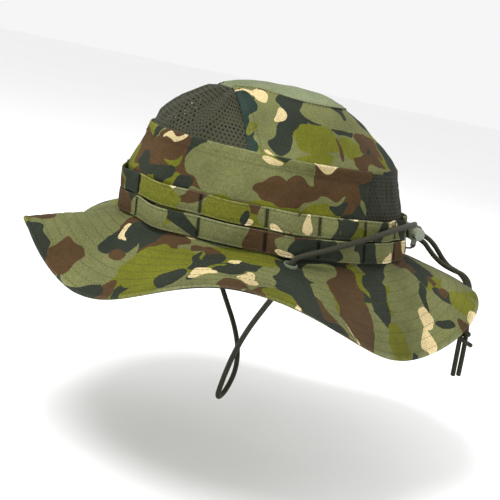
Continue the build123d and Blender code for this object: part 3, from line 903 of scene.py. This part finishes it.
brim_patches = [(shade, brim_spot(station, reach), half) for shade, station, reach, half in [
    ("sage", 22, 40, (22, 24, 30)),
    ("sage", 4, 30, (24, 26, 30)),
    ("lime", 42, 34, (26, 20, 30)),
    ("lime", 66, 12, (14, 28, 20)),
    ("brown", 14, 56, (13, 11, 18)),
    ("brown", -4, 56, (16, 11, 18)),
    ("charcoal", 10, 68, (22, 7, 20)),
    ("charcoal", -12, 66, (20, 9, 20)),
    ("charcoal", 21, 24, (11, 13, 20)),
    ("brown", 26, 34, (6, 5, 20)),
    ("tan", 19, 13, (5, 4, 12)),
    ("charcoal", 24, 8, (8, 10, 12)),
    ("charcoal", 50, 52, (8, 9, 14)),
    ("charcoal", 58, 22, (9, 7, 14)),
    ("brown", 56, 14, (6, 7, 10)),
    ("charcoal", 62, 40, (6, 9, 12)),
    ("tan", 57, 46, (7, 6, 10)),
    ("tan", 65, 25, (5, 5, 10)),
    ("tan", 68, 47, (8, 7, 10)),
    ("brown", 64, 60, (6, 9, 12)),
    ("charcoal", 81, 38, (34, 15, 20)),
    ("lime", 75, 60, (9, 9, 14)),
    ("sage", 92, 14, (14, 14, 14)),
    ("brown", 101, 36, (34, 17, 30)),
    ("charcoal", 117, 24, (20, 10, 20)),
    ("sage", 134, 32, (30, 22, 40)),
    ("lime", 118, 60, (14, 14, 30)),
    ("charcoal", 142, 30, (14, 4, 12)),
    ("tan", 136, 46, (9, 6, 10)),
    ("tan", 132, 60, (8, 5, 10)),
    ("charcoal", 141, 56, (4, 9, 10)),
    ("lime", 154, 54, (11, 12, 20)),
    ("brown", 152, 38, (4, 4, 8)),
    ("brown", 147, 66, (6, 7, 10)),
    ("sage", 170, 40, (26, 26, 20)),
]]
top_ply_print = camouflage("brim_top_print", (0.83, 0.27, 0.4), brim_patches)
under_ply_print = camouflage("brim_under_print", (0.17, 0.67, 0.9))
eyelet_holes = [(side * EYELET_X, EYELET_Y, 0.0040) for side in (1, -1)]
for name, side, ply_print, node in [("brim_top_cloth", 1, top_ply_print, "brim_upper"),
                                    ("brim_under_cloth", -1, under_ply_print, "brim_lower")]:
    cloth = cloth_grid(name, 400, 96, brim_cloth(side), closed=True, upside=side > 0,
                       wear=lambda u, v: 0.8 * smooth((v - 0.975) * 60), holes=eyelet_holes)
    sew_in(cloth, ply_print, "camouflage_cloth", node)


def stiffener_cloth(u, v):
    return brim_point(360 * u, 0.0006 + 0.0640 * v) - Vector((0, 0, 0.00105))


stiff_weave = brushed_cloth("stiff_interlining", (0.42, 0.42, 0.36, 1), 0.0002)
stiffener = cloth_grid("brim_stiffener", 240, 20, stiffener_cloth, closed=True, upside=True,
                       holes=eyelet_holes)
sew_in(stiffener, stiff_weave, "interlining", "brim_interlining", 0.0003)


# Thread eyelets. One worked eyelet each side of the brim, a ring closely wrapped with olive thread,
# where the cords come through.
def thread_finish(name, colour):
    material, join, shader, links = finish_material(name, 0.65, 0.0, 0.15)
    fibre = noise_of(join, join("ShaderNodeTexCoord").outputs["Object"], 2200.0, 2.0)
    dress(shader, links, Base_Color=toned(join, colour, ranged(join, fibre, 0.7, 1.3)),
          Normal=bumped(join, fibre, 0.4, 0.0001))
    return material


olive_thread = thread_finish("olive_thread", (0.050, 0.054, 0.030, 1))
pale_thread = thread_finish("pale_thread", (0.105, 0.125, 0.085, 1))
dark_thread = thread_finish("dark_thread", (0.020, 0.021, 0.015, 1))


EYELET_LEVEL, EYELET_SLANT = -0.0032, 0.17


def eyelet_wraps(side):
    def place(u, v):
        turn, round_it = 2 * math.pi * u, 2 * math.pi * (v - 0.18 * math.sin(2 * math.pi * v))
        wrap = 0.00012 * abs(math.sin(30 * turn))
        middle = (EYELET_BORE + EYELET_OUTER) / 2
        reach = middle + (0.00072 + wrap) * math.cos(round_it) * -side
        x, y = side * EYELET_X + reach * math.sin(turn), EYELET_Y - reach * math.cos(turn)
        level = EYELET_LEVEL + (0.00200 + wrap) * math.sin(round_it)
        return Vector((x, y, level - EYELET_SLANT * reach * math.sin(turn) * side))
    return place


for name, side, node in [("left_eyelet_thread", 1, "left_eyelet"),
                         ("right_eyelet_thread", -1, "right_eyelet")]:
    ring = cloth_grid(name, 240, 18, eyelet_wraps(side), closed=True)
    sew_in(ring, pale_thread, "thread", node)


# Foliage band. Two rows of folded camouflage strip stand round the crown wall; each is tacked down
# every few centimetres, so it bows out into loops between the bar tacks.
TACKS = [15, 48, 73, 93, 114, 136, 154, 172]
STRIP_SEAT, STRIP_THICK, STRIP_HEIGHT, STRIP_BULGE = 0.0006, 0.0012, 0.0140, 0.0032
STRIP_LEVELS = {"lower_loop_cloth": 0.0012, "upper_loop_cloth": 0.0164}
all_tacks = TACKS + [360 - station for station in reversed(TACKS)]
loops = list(zip(all_tacks, all_tacks[1:] + [all_tacks[0] + 360]))
COLUMNS_EACH = 24
SLACK = {(1.0, 0): 0.0012, (1.0, 1): 0.0020, (1.0, 2): 0.0010, (2.0, 1): 0.0008, (2.0, 2): 0.0016,
         (1.0, 12): 0.0016, (2.0, 13): 0.0014}


def strip_place(share):
    """The station at a share of the way round the band, and how far the strip bows out there."""
    index = min(int(share * len(loops)), len(loops) - 1)
    start, end = loops[index]
    along = share * len(loops) - index
    bow = STRIP_BULGE * min(1, (end - start) / 20) * math.sin(math.pi * along) ** 2
    return start + (end - start) * along, bow, index, along


strip_section = [(-0.97, -0.6), (-1.0, 0.0), (-0.985, 0.62), (-0.93, 0.92), (-0.82, 0.98),
                 (-0.765, 0.72), (-0.71, 0.98), (-0.4, 1.05), (0.0, 1.08), (0.4, 1.05),
                 (0.71, 0.98), (0.765, 0.72), (0.82, 0.98), (0.93, 0.92), (0.985, 0.62),
                 (1.0, 0.0), (0.97, -0.6), (0.5, -0.85), (0.0, -0.9), (-0.5, -0.85)]


def strip_surface(row_level, seed, share, height, depth):
    """A point of a strip: height -1 to 1 across it and depth -1 (wall side) to 1 (outer face)."""
    station, bow, index, along = strip_place(share)
    free = math.sin(math.pi * along) ** 2
    lean = noise.noise(Vector((index * 1.7, seed, 0.5))) * 0.0022 * free * height
    bow += SLACK.get((seed, index), 0.0) * free
    sway = noise.noise(Vector((share * 60, seed * 3 + height * 0.8, 4))) * 0.00035 * free
    drop = noise.noise(Vector((index * 2.3, seed, 7.5))) * 0.0017 * free
    half_thick = STRIP_THICK / 2 * (1 - 0.25 * (1 - free))
    outward = STRIP_SEAT + half_thick + bow * 0.97 + lean + sway + half_thick * depth
    level = row_level + STRIP_HEIGHT / 2 * (1 + height) + drop
    return crown_point(max(level, 0.0002), station, max(outward, 0.0003))


strip_shifts = {"lower_loop_cloth": (0.22, 0.93, 0.61), "upper_loop_cloth": (0.73, 0.38, 0.11)}
strip_patches = {
    "lower_loop_cloth": [
        ("sage", (34, -96, 8), (20, 16, 12)),
        ("brown", (6, -110, 8), (12, 12, 12)),
        ("sage", (74, -55, 8), (16, 17, 12)),
        ("brown", (88, -36, 8), (16, 10, 12)),
        ("sage", (90, -20, 11), (16, 8, 6)),
        ("charcoal", (88, 4, 7), (16, 20, 9)),
        ("tan", (90, -18, 3), (12, 7, 3)),
        ("sage", (84, 32, 8), (16, 7, 12)),
        ("charcoal", (80, 45, 8), (16, 10, 12)),
        ("sage", (70, 66, 9), (16, 10, 9)),
        ("tan", (70, 67, 2), (16, 7, 4)),
    ],
    "upper_loop_cloth": [
        ("charcoal", (14, -106, 24), (10, 12, 12)),
        ("lime", (40, -94, 23), (20, 16, 12)),
        ("lime", (76, -60, 24), (16, 14, 12)),
        ("charcoal", (77, -50, 22), (12, 4, 6)),
        ("sage", (86, -30, 24), (16, 12, 12)),
        ("tan", (87, -28, 17), (12, 4, 3)),
        ("sage", (88, -2, 24), (16, 18, 12)),
        ("tan", (89, -7, 25), (12, 3.8, 7)),
        ("charcoal", (86, 24, 24), (16, 7, 10)),
        ("sage", (82, 40, 27), (16, 10, 5)),
        ("charcoal", (78, 52, 22), (16, 6, 10)),
        ("tan", (70, 66, 28), (16, 8, 4)),
    ],
}
for (name, row_level), node in zip(STRIP_LEVELS.items(), ["lower_loop_strip", "upper_loop_strip"]):
    seed = 1.0 if node == "lower_loop_strip" else 2.0
    size = len(strip_section)

    def strip_cloth(u, v):
        height, depth = strip_section[round(v * size) % size]
        return strip_surface(row_level, seed, u, height, depth)

    strip = cloth_grid(name, COLUMNS_EACH * len(loops), size, strip_cloth, closed=True,
                       wear=lambda u, v: 1.0 if round(v * size) % size in (1, 2, 3, 13, 14, 15)
                       else 0.15)
    strip_print = camouflage(name + "_print", strip_shifts[name], strip_patches[name])
    sew_in(strip, strip_print, "camouflage_cloth", node)


# Bar tacks. Dense zigzag bars of dark thread hold both strips to the wall; they are swept along
# their path, and the stitches of the next section are laid along theirs.
thread_sweep, join, given = tree_with("thread_sweep", [
    ("Thread Radius", "NodeSocketFloat"), ("Thread Material", "NodeSocketMaterial")])
path = join("GeometryNodeMeshToCurve", {"Mesh": given["Geometry"]})
round_thread = join("GeometryNodeCurvePrimitiveCircle", {"Resolution": 5,
                                                         "Radius": given["Thread Radius"]})
swept = join("GeometryNodeCurveToMesh", {
    "Curve": path.outputs[0], "Profile Curve": round_thread.outputs[0], "Fill Caps": True})
end_tree(join, swept.outputs[0], given["Thread Material"])

stitcher, join, given = tree_with("stitch_rows", [
    ("Stitch Pitch", "NodeSocketFloat"), ("Stitch Length", "NodeSocketFloat"),
    ("Thread Radius", "NodeSocketFloat"), ("Wander Seed", "NodeSocketInt"),
    ("Thread Material", "NodeSocketMaterial")])
rows_path = join("GeometryNodeMeshToCurve", {"Mesh": given["Geometry"]})
spaced = join("GeometryNodeResampleCurve", {"Curve": rows_path.outputs[0],
                                            "Length": given["Stitch Pitch"]}, mode="LENGTH")
heading = join("GeometryNodeInputTangent")
facing = join("FunctionNodeAlignRotationToVector", {"Vector": heading.outputs[0]}, axis="Z")
uneven = join("FunctionNodeRandomValue", {2: 0.85, 3: 1.1, "Seed": given["Wander Seed"]})
stitch_length = join("ShaderNodeMath", {0: given["Stitch Length"], 1: uneven.outputs[1]},
                     operation="MULTIPLY")
stitch_size = join("ShaderNodeCombineXYZ", {
    "X": given["Thread Radius"], "Y": given["Thread Radius"], "Z": stitch_length.outputs[0]})
stitch = join("GeometryNodeMeshIcoSphere", {"Radius": 1.0, "Subdivisions": 1})
laid = join("GeometryNodeInstanceOnPoints", {
    "Points": spaced.outputs[0], "Instance": stitch.outputs[0],
    "Rotation": facing.outputs[0], "Scale": stitch_size.outputs[0]})
end_tree(join, laid.outputs[0], given["Thread Material"])


def thread_paths(name, rows):
    """A mesh of bare edges, one open or closed run for each row of points."""
    points, edges = [], []
    for row, is_ring in rows:
        start = len(points)
        points.extend(row)
        edges.extend((start + k, start + k + 1) for k in range(len(row) - 1))
        if is_ring:
            edges.append((len(points) - 1, start))
    base = bpy.data.meshes.new(name)
    base.from_pydata(points, edges, [])
    return base


def sew_thread(piece, node=""):
    piece.data.shade_smooth()
    seat(piece, "hat", node, "thread")


def stitched(name, rows, thread, pitch=0.0030, length=0.0011, radius=0.00020, seed=3):
    sizes = {"Stitch Pitch": pitch, "Stitch Length": length, "Thread Radius": radius,
             "Wander Seed": seed, "Thread Material": thread}
    sew_thread(made_by(stitcher, name, thread_paths(name, rows), sizes))


bars = []
for seed, row_level in zip((1.0, 2.0), STRIP_LEVELS.values()):
    for tack in range(len(loops)):
        station = loops[tack][0]
        bar = []
        for step in range(46):
            height = -0.86 + 1.72 * step / 45
            aside = 0.0009 if step % 2 else -0.0009
            outward = STRIP_SEAT + STRIP_THICK * 0.93 + 0.00014
            level = row_level + STRIP_HEIGHT / 2 * (1 + height)
            half_width = crown_oval(level)[0]
            bar.append(crown_point(level, station + math.degrees(aside / half_width), outward))
        bars.append((bar, False))
tacks = made_by(thread_sweep, "bar_tack_threads", thread_paths("bar_tack_threads", bars),
                {"Thread Radius": 0.00024, "Thread Material": dark_thread})
sew_thread(tacks, "strip_bar_tacks")


# Stitching. Quilting rows on both faces of the brim, two rows on the outer face of each foliage
# strip, and topstitching along the crown's seams.
def ring_row(place, count):
    return [place(360 * k / count) for k in range(count)], True


for name, side in [("brim_top_stitches", 1), ("brim_under_stitches", -1)]:
    surface = brim_cloth(side)
    rows = []
    for reach in brim_rows:
        def quilt_spot(station):
            spot = surface(station / 360, reach / BRIM_WIDTH)
            return spot + Vector((0, 0, side * 0.00008))
        rows.append(ring_row(quilt_spot, 360))
    stitched(name, rows, olive_thread)

strip_rows = []
for seed, row_level in zip((1.0, 2.0), STRIP_LEVELS.values()):
    for height in (-0.765, 0.765):
        strip_rows.append(ring_row(
            lambda station: strip_surface(row_level, seed, station / 360, height, 0.80), 384))
stitched("strip_stitches", strip_rows, olive_thread, 0.0026, 0.0010, 0.00017, 5)


def seam_run(surface, fixed, values, lift, down=False):
    """Points along one line of a cloth surface, lifted a little off it."""
    run = []
    for value in values:
        u, v = (fixed, value) if down else (value, fixed)
        spot, beside, above = surface(u, v), surface(u + 0.002, v), surface(u, v + 0.004)
        run.append(spot + (beside - spot).cross(above - spot).normalized() * lift)
    return run, False


THREAD_LIFT = 0.0001
TOP_ROW = 0.955
REAR_ROWS = (0.006, 0.994)
hem_row = 1 - (HEM - HEM_ROW) / SHOULDER
crown_rows = [seam_run(wall_cloth, hem_row, [0.002 + 0.992 * k / 240 for k in range(241)],
                       THREAD_LIFT)]
crown_rows += [seam_run(wall_cloth, share, [k / 60 * 0.98 for k in range(60)], THREAD_LIFT, True)
               for share in REAR_ROWS]
for side in (1, -1):
    surface = side_cloth(side)
    for lap in (FRONT_LAP, REAR_LAP):
        crown_rows.append(seam_run(surface, lap, [0.03 + 0.94 * k / 50 for k in range(50)],
                                   side * THREAD_LIFT, True))
    crown_rows.append(seam_run(surface, TOP_ROW, [0.01 + 0.98 * k / 120 for k in range(120)],
                               side * THREAD_LIFT))
stitched("crown_stitches", crown_rows, olive_thread, 0.0028, 0.0011, 0.00022, 7)


# Chin cord. One olive-drab braided cord: a loop under the chin, and two strands that run from the
# eyelets round the back of the band, through the lock and over the rear brim to a knot and two
# free tails.
CORD = 0.0038


def smooth_line(name, route):
    """Closely spaced points along the smooth line that a cord takes through its route."""
    data = bpy.data.curves.new(name, "CURVE")
    data.dimensions = "3D"
    spline = data.splines.new("NURBS")
    spline.points.add(len(route) - 1)
    for knot, spot in zip(spline.points, route):
        knot.co = (*spot, 1)
    spline.order_u = 3
    spline.use_endpoint_u = True
    spline.resolution_u = 24
    holder = link(bpy.data.objects.new(name, data))
    graph = bpy.context.evaluated_depsgraph_get()
    drawn = bpy.data.meshes.new_from_object(holder.evaluated_get(graph))
    points = [vertex.co.copy() for vertex in drawn.vertices]
    bpy.data.objects.remove(holder)
    return points


def evenly(points, step):
    """The same line with its points a step apart, and its length."""
    total = sum((b - a).length for a, b in zip(points, points[1:]))
    count = max(4, round(total / step))
    spaced, index, gone = [points[0].copy()], 0, 0.0
    for k in range(1, count):
        wanted = total * k / count
        while gone + (points[index + 1] - points[index]).length < wanted:
            gone += (points[index + 1] - points[index]).length
            index += 1
        leg = points[index + 1] - points[index]
        spaced.append(points[index] + leg * ((wanted - gone) / leg.length))
    return spaced + [points[-1].copy()], total


def braided_tube(name, points, diameter, sides=32, step=0.0005, lobes=8, pitch=0.0042,
                 relief=0.035):
    """A braided cord along a line, its carriers raised over and under each other."""
    spots, total = evenly(points, step)
    radius = diameter / 2
    heading = (spots[1] - spots[0]).normalized()
    side = heading.orthogonal().normalized()
    rings, lengths = [], []
    for k, spot in enumerate(spots):
        ahead = (spots[min(k + 1, len(spots) - 1)] - spots[max(k - 1, 0)]).normalized()
        side = (heading.rotation_difference(ahead) @ side).normalized()
        heading = ahead
        gone = total * k / (len(spots) - 1)
        end = min(gone, total - gone)
        close = math.sqrt(max(0.0, 1 - (1 - min(1, end / (radius * 0.6))) ** 2))
        ring = []
        for i in range(sides):
            turn = 2 * math.pi * i / sides
            one = abs(math.cos(lobes / 2 * turn + math.pi * gone / pitch))
            other = abs(math.cos(lobes / 2 * turn - math.pi * gone / pitch))
            swell = 1 + relief * (max(one, other) - 0.85)
            away = Quaternion(heading, turn) @ side
            ring.append(spot + away * radius * swell * max(close, 0.02))
        rings.append(ring)
        lengths.append(gone)
    mesh = bpy.data.meshes.new(name)
    flat = [spot for ring in rings for spot in ring] + [spots[0], spots[-1]]
    faces, corners = [], []
    for k in range(len(rings) - 1):
        for i in range(sides):
            quad = [(k, i), (k, i + 1), (k + 1, i + 1), (k + 1, i)]
            faces.append([row * sides + column % sides for row, column in quad])
            corners.extend((lengths[row], column / sides * math.pi * diameter)
                           for row, column in quad)
    for i in range(sides):
        faces.append([len(flat) - 2, (i + 1) % sides, i])
        faces.append([len(flat) - 1, (len(rings) - 1) * sides + i,
                      (len(rings) - 1) * sides + (i + 1) % sides])
        corners.extend([(0, 0)] * 6)
    mesh.from_pydata(flat, [], faces)
    chart = mesh.uv_layers.new(name="cloth")
    for loop, spot in zip(chart.data, corners):
        loop.uv = spot
    mesh.shade_smooth()
    return link(bpy.data.objects.new(name, mesh)), spots, total


def braid_finish(name, colour, highlight):
    """Braided nylon: slanting yarns one way and the other, with a dull shine; painted shade darkens the crevices
    between the yarns and a painted highlight lightens their crests.
    """
    material, join, shader, links = finish_material(name, 0.6, 0.0, 0.2)
    chart = join("ShaderNodeUVMap", uv_map="cloth").outputs[0]
    heights = []
    for turn in (0.62, -0.62):
        turned = join("ShaderNodeVectorRotate", {"Vector": chart, "Angle": turn},
                      rotation_type="Z_AXIS")
        heights.append(join("ShaderNodeTexWave", {"Vector": turned.outputs[0], "Scale": 520.0},
                            bands_direction="Y").outputs["Fac"])
    yarn = join("ShaderNodeMath", {0: heights[0], 1: heights[1]}, operation="MAXIMUM").outputs[0]
    fibre = noise_of(join, join("ShaderNodeTexCoord").outputs["Object"], 1400.0, 2.0)
    # Base colour: the dark colour in the crevices is painted shade, and the highlight colour on the yarn crests is a
    # painted highlight.
    dress(shader, links, Base_Color=mixed(join, product(join, yarn, fibre), colour, highlight),
          Normal=bumped(join, yarn, 0.6, 0.00022), Roughness=ranged(join, fibre, 0.5, 0.75))
    return material


# The cord's near-black colour is painted shade in the braid's crevices, and its lighter colour is a painted highlight
# on the crests.
braid = braid_finish("olive_drab_braid", (0.009, 0.009, 0.005, 1), (0.072, 0.068, 0.040, 1))

left_entry, left_exit = (0.007478, 0.105985, 0.016682), (0.004084, 0.130133, 0.009225)
right_entry, right_exit = (0.007317, 0.107128, 0.020459), (0.003923, 0.131277, 0.013003)
STRAND_FOOT = -0.006529
side_route = [
    (EYELET_X, EYELET_Y, STRAND_FOOT), (EYELET_X, EYELET_Y, 0.0010),
    (EYELET_X + 0.0006, EYELET_Y + 0.008, 0.005), (EYELET_X + 0.0004, EYELET_Y + 0.024, 0.0105),
    (0.0845, 0.040, 0.0205), (0.0695, 0.069, 0.0275), (0.048, 0.093, 0.0285),
]
left_route = side_route + [
    (0.027, 0.1045, 0.0245), left_entry, left_exit, (0.004, 0.1375, 0.0024),
    (0.0042, 0.1455, -0.0036), (0.0048, 0.1535, -0.0078), (0.006, 0.162, -0.0104),
    (0.008, 0.1715, -0.0124), (0.0098, 0.178, -0.020), (0.0115, 0.178, -0.033),
    (0.0116, 0.1780, -0.048), (0.0122, 0.1784, -0.062), (0.0130, 0.1788, -0.078),
    (0.0136, 0.1792, -0.094),
]
right_route = [(-x, y, z) for x, y, z in side_route] + [
    (-0.028, 0.1052, 0.0275), (-0.010, 0.1082, 0.0242), right_entry, right_exit,
    (0.002, 0.1405, 0.008), (0.0005, 0.1475, 0.002), (-0.0006, 0.1545, -0.0044),
    (-0.001, 0.162, -0.0098), (0.0014, 0.172, -0.0128), (0.004, 0.1789, -0.021),
    (0.0068, 0.1819, -0.034), (0.011, 0.1822, -0.048), (0.0140, 0.1826, -0.062),
    (0.0150, 0.1828, -0.077), (0.0152, 0.1832, -0.093),
]
PIVOT = -0.008729
chin_route = [
    (EYELET_X, EYELET_Y, PIVOT), (EYELET_X - 0.005, EYELET_Y - 0.0008, PIVOT - 0.010),
    (EYELET_X - 0.019, EYELET_Y - 0.0024, PIVOT - 0.027), (0.047, -0.0165, -0.062),
    (0.027, -0.0145, -0.087), (0.016, -0.014, -0.110), (0.009, -0.013, -0.128),
    (-0.009, 0.0005, -0.1285), (-0.016, 0.0085, -0.111), (-0.026, 0.007, -0.089),
    (-0.047, -0.004, -0.062), (-EYELET_X + 0.019, EYELET_Y + 0.0025, PIVOT - 0.027),
    (-EYELET_X + 0.005, EYELET_Y + 0.0005, PIVOT - 0.010), (-EYELET_X, EYELET_Y, PIVOT),
]

# The knot. Both tails are tied together in one overhand knot: two snug turns of cord round the
# pair, with a short end standing out of it.
knot_middle = Vector((0.0128, 0.1806, -0.0605))
knot_across = Vector((1.0, 0.1, 0.0)).normalized()
knot_aside = Vector((-0.1, 1.0, 0.0)).normalized()


def knot_spot(turn, reach, high):
    return tuple(knot_middle + knot_across * (reach * math.cos(turn))
                 + knot_aside * (reach * math.sin(turn)) + Vector((0, 0, high)))


knot_route = [knot_spot(0.7 * k, 0.0041, 0.0042 - 0.00088 * k - 0.0012 * math.sin(0.7 * k))
              for k in range(10)]
knot_route = [knot_spot(-1.2, 0.0012, 0.0046)] + knot_route
knot_route += [knot_spot(7.1, 0.0050, -0.0048), knot_spot(7.3, 0.0085, -0.0066)]
knot = braided_tube("tail_knot_wraps", smooth_line("knot_line", knot_route), CORD * 0.92)[0]
knot.data.materials.append(braid)
seat(knot, "hat", "tail_knot", "cord")

for name, route, node, far_end, body, mates in [
    ("left_strand_braid", left_route, "left_strand", "bare", "hat", [knot]),
    ("right_strand_braid", right_route, "right_strand", "bare", "hat", []),
    ("chin_loop_braid", chin_route, "chin_loop", "object", "chin_cord", []),
]:
    strand, line, length = braided_tube(name, smooth_line(name + "_line", route), CORD)
    strand.data.materials.append(braid)
    seat(strand, body, node, "cord")
    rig.cord(strand, exit=route[0], length=length, diameter=CORD, far_end=far_end,
            stiffness="limp", lay="hanging", path=line, with_pieces=mates)


# Cord lock. A moulded foliage-green barrel with a ribbed push button, closed by a steel spring;
# the two moulded parts keep their shapes and take a moulded nylon finish.
def moulded(name, colour, gloss):
    material, join, shader, links = finish_material(name, gloss, 0.0, 0.5)
    place = join("ShaderNodeTexCoord").outputs["Object"]
    cloudy = noise_of(join, place, 300.0, 4.0)
    grain = noise_of(join, place, 3500.0, 2.0)
    dress(shader, links, Base_Color=toned(join, colour, ranged(join, cloudy, 0.82, 1.15)),
          Normal=bumped(join, grain, 0.2, 0.0001),
          Roughness=ranged(join, cloudy, gloss - 0.08, gloss + 0.12))
    return material


def finish_node(node, material):
    materials = bpy.data.objects[node].data.materials
    materials.clear()
    materials.append(material)


# The barrel's colour, about half as bright as the button's, is painted shade on a pale foliage plastic like the
# button's.
finish_node("lock_body", moulded("barrel_nylon", (0.130, 0.145, 0.100, 1), 0.42))
finish_node("lock_plunger", moulded("button_nylon", (0.270, 0.300, 0.220, 1), 0.38))

lock_middle = Vector((0.006, 0.1165, 0.0155))
plunger_axis = Vector((0.990268, 0.139173, 0.0))
coil_aside = Vector((0.139173, -0.990268, 0.0))
SPRING_FLOOR, SPRING_LENGTH, SPRING_RADIUS, SPRING_WIRE = -0.00925, 0.0054, 0.0032, 0.0005
COIL_TURNS, COIL_STEPS = 3.5, 112
coil = []
for k in range(COIL_STEPS + 1):
    turn = 2 * math.pi * COIL_TURNS * k / COIL_STEPS
    coil.append(lock_middle + plunger_axis * (SPRING_FLOOR + SPRING_LENGTH * k / COIL_STEPS)
                + (coil_aside * math.cos(turn) + Vector((0, 0, math.sin(turn)))) * SPRING_RADIUS)
steel, join, shader, links = finish_material("spring_steel", 0.3)
shader.inputs["Metallic"].default_value = 1.0
brushed = join("ShaderNodeTexNoise", {"Scale": 2500.0, "Detail": 2.0})
steel_tone = join("ShaderNodeMapRange", {0: brushed.outputs["Fac"], 3: 0.45, 4: 0.65})
links.new(steel_tone.outputs[0], shader.inputs["Base Color"])
coil_path = thread_paths("lock_spring_coil", [(coil, False)])
spring = made_by(thread_sweep, "lock_spring_coil", coil_path,
                 {"Thread Radius": SPRING_WIRE / 2, "Thread Material": steel})
spring.data.shade_smooth()
seat(spring, "cord_lock", "lock_spring", "spring_steel")
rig.squash(spring, "lock_button_press", axis=plunger_axis,
          anchor=lock_middle + plunger_axis * SPRING_FLOOR, keep=0.36)

# The tether. A thin black elastic cord from the lock's tab to the lower strip of the band keeps
# the lock from being lost.
tab_eye = lock_middle + plunger_axis * 0.0054 - Vector((0, 0, 0.0091))
tether_anchor = crown_point(0.005, 163, STRIP_SEAT + STRIP_THICK)
tether_route = [tab_eye - plunger_axis * 0.0004, tab_eye + plunger_axis * 0.0022,
                tab_eye + Vector((0.004, -0.0035, -0.002)),
                tab_eye + Vector((0.007, -0.010, -0.0016)), tether_anchor]
# The elastic is painted black in the crevices of its braid as painted shade, and lighter on the crests as a painted
# highlight.
elastic = braid_finish("black_elastic", (0.006, 0.006, 0.006, 1), (0.030, 0.030, 0.028, 1))
tether_line = smooth_line("tether_line", [tuple(spot) for spot in tether_route])
tether = braided_tube("tether_loop_cord", tether_line, 0.0014, 16, 0.0005, 6, 0.002, 0.06)[0]
tether.data.materials.append(elastic)
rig.blend(tether, "hat", "cord_lock", start=tether_anchor, end=tab_eye)
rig.replaces(tether, "lock_tether")
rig.slot(tether, "elastic")

seen_low, seen_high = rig.bounds()
with open("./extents.json", "w") as sizes:
    json.dump({"cad": [list(cad_low), list(cad_high)],
               "visual": [list(seen_low), list(seen_high)]}, sizes)
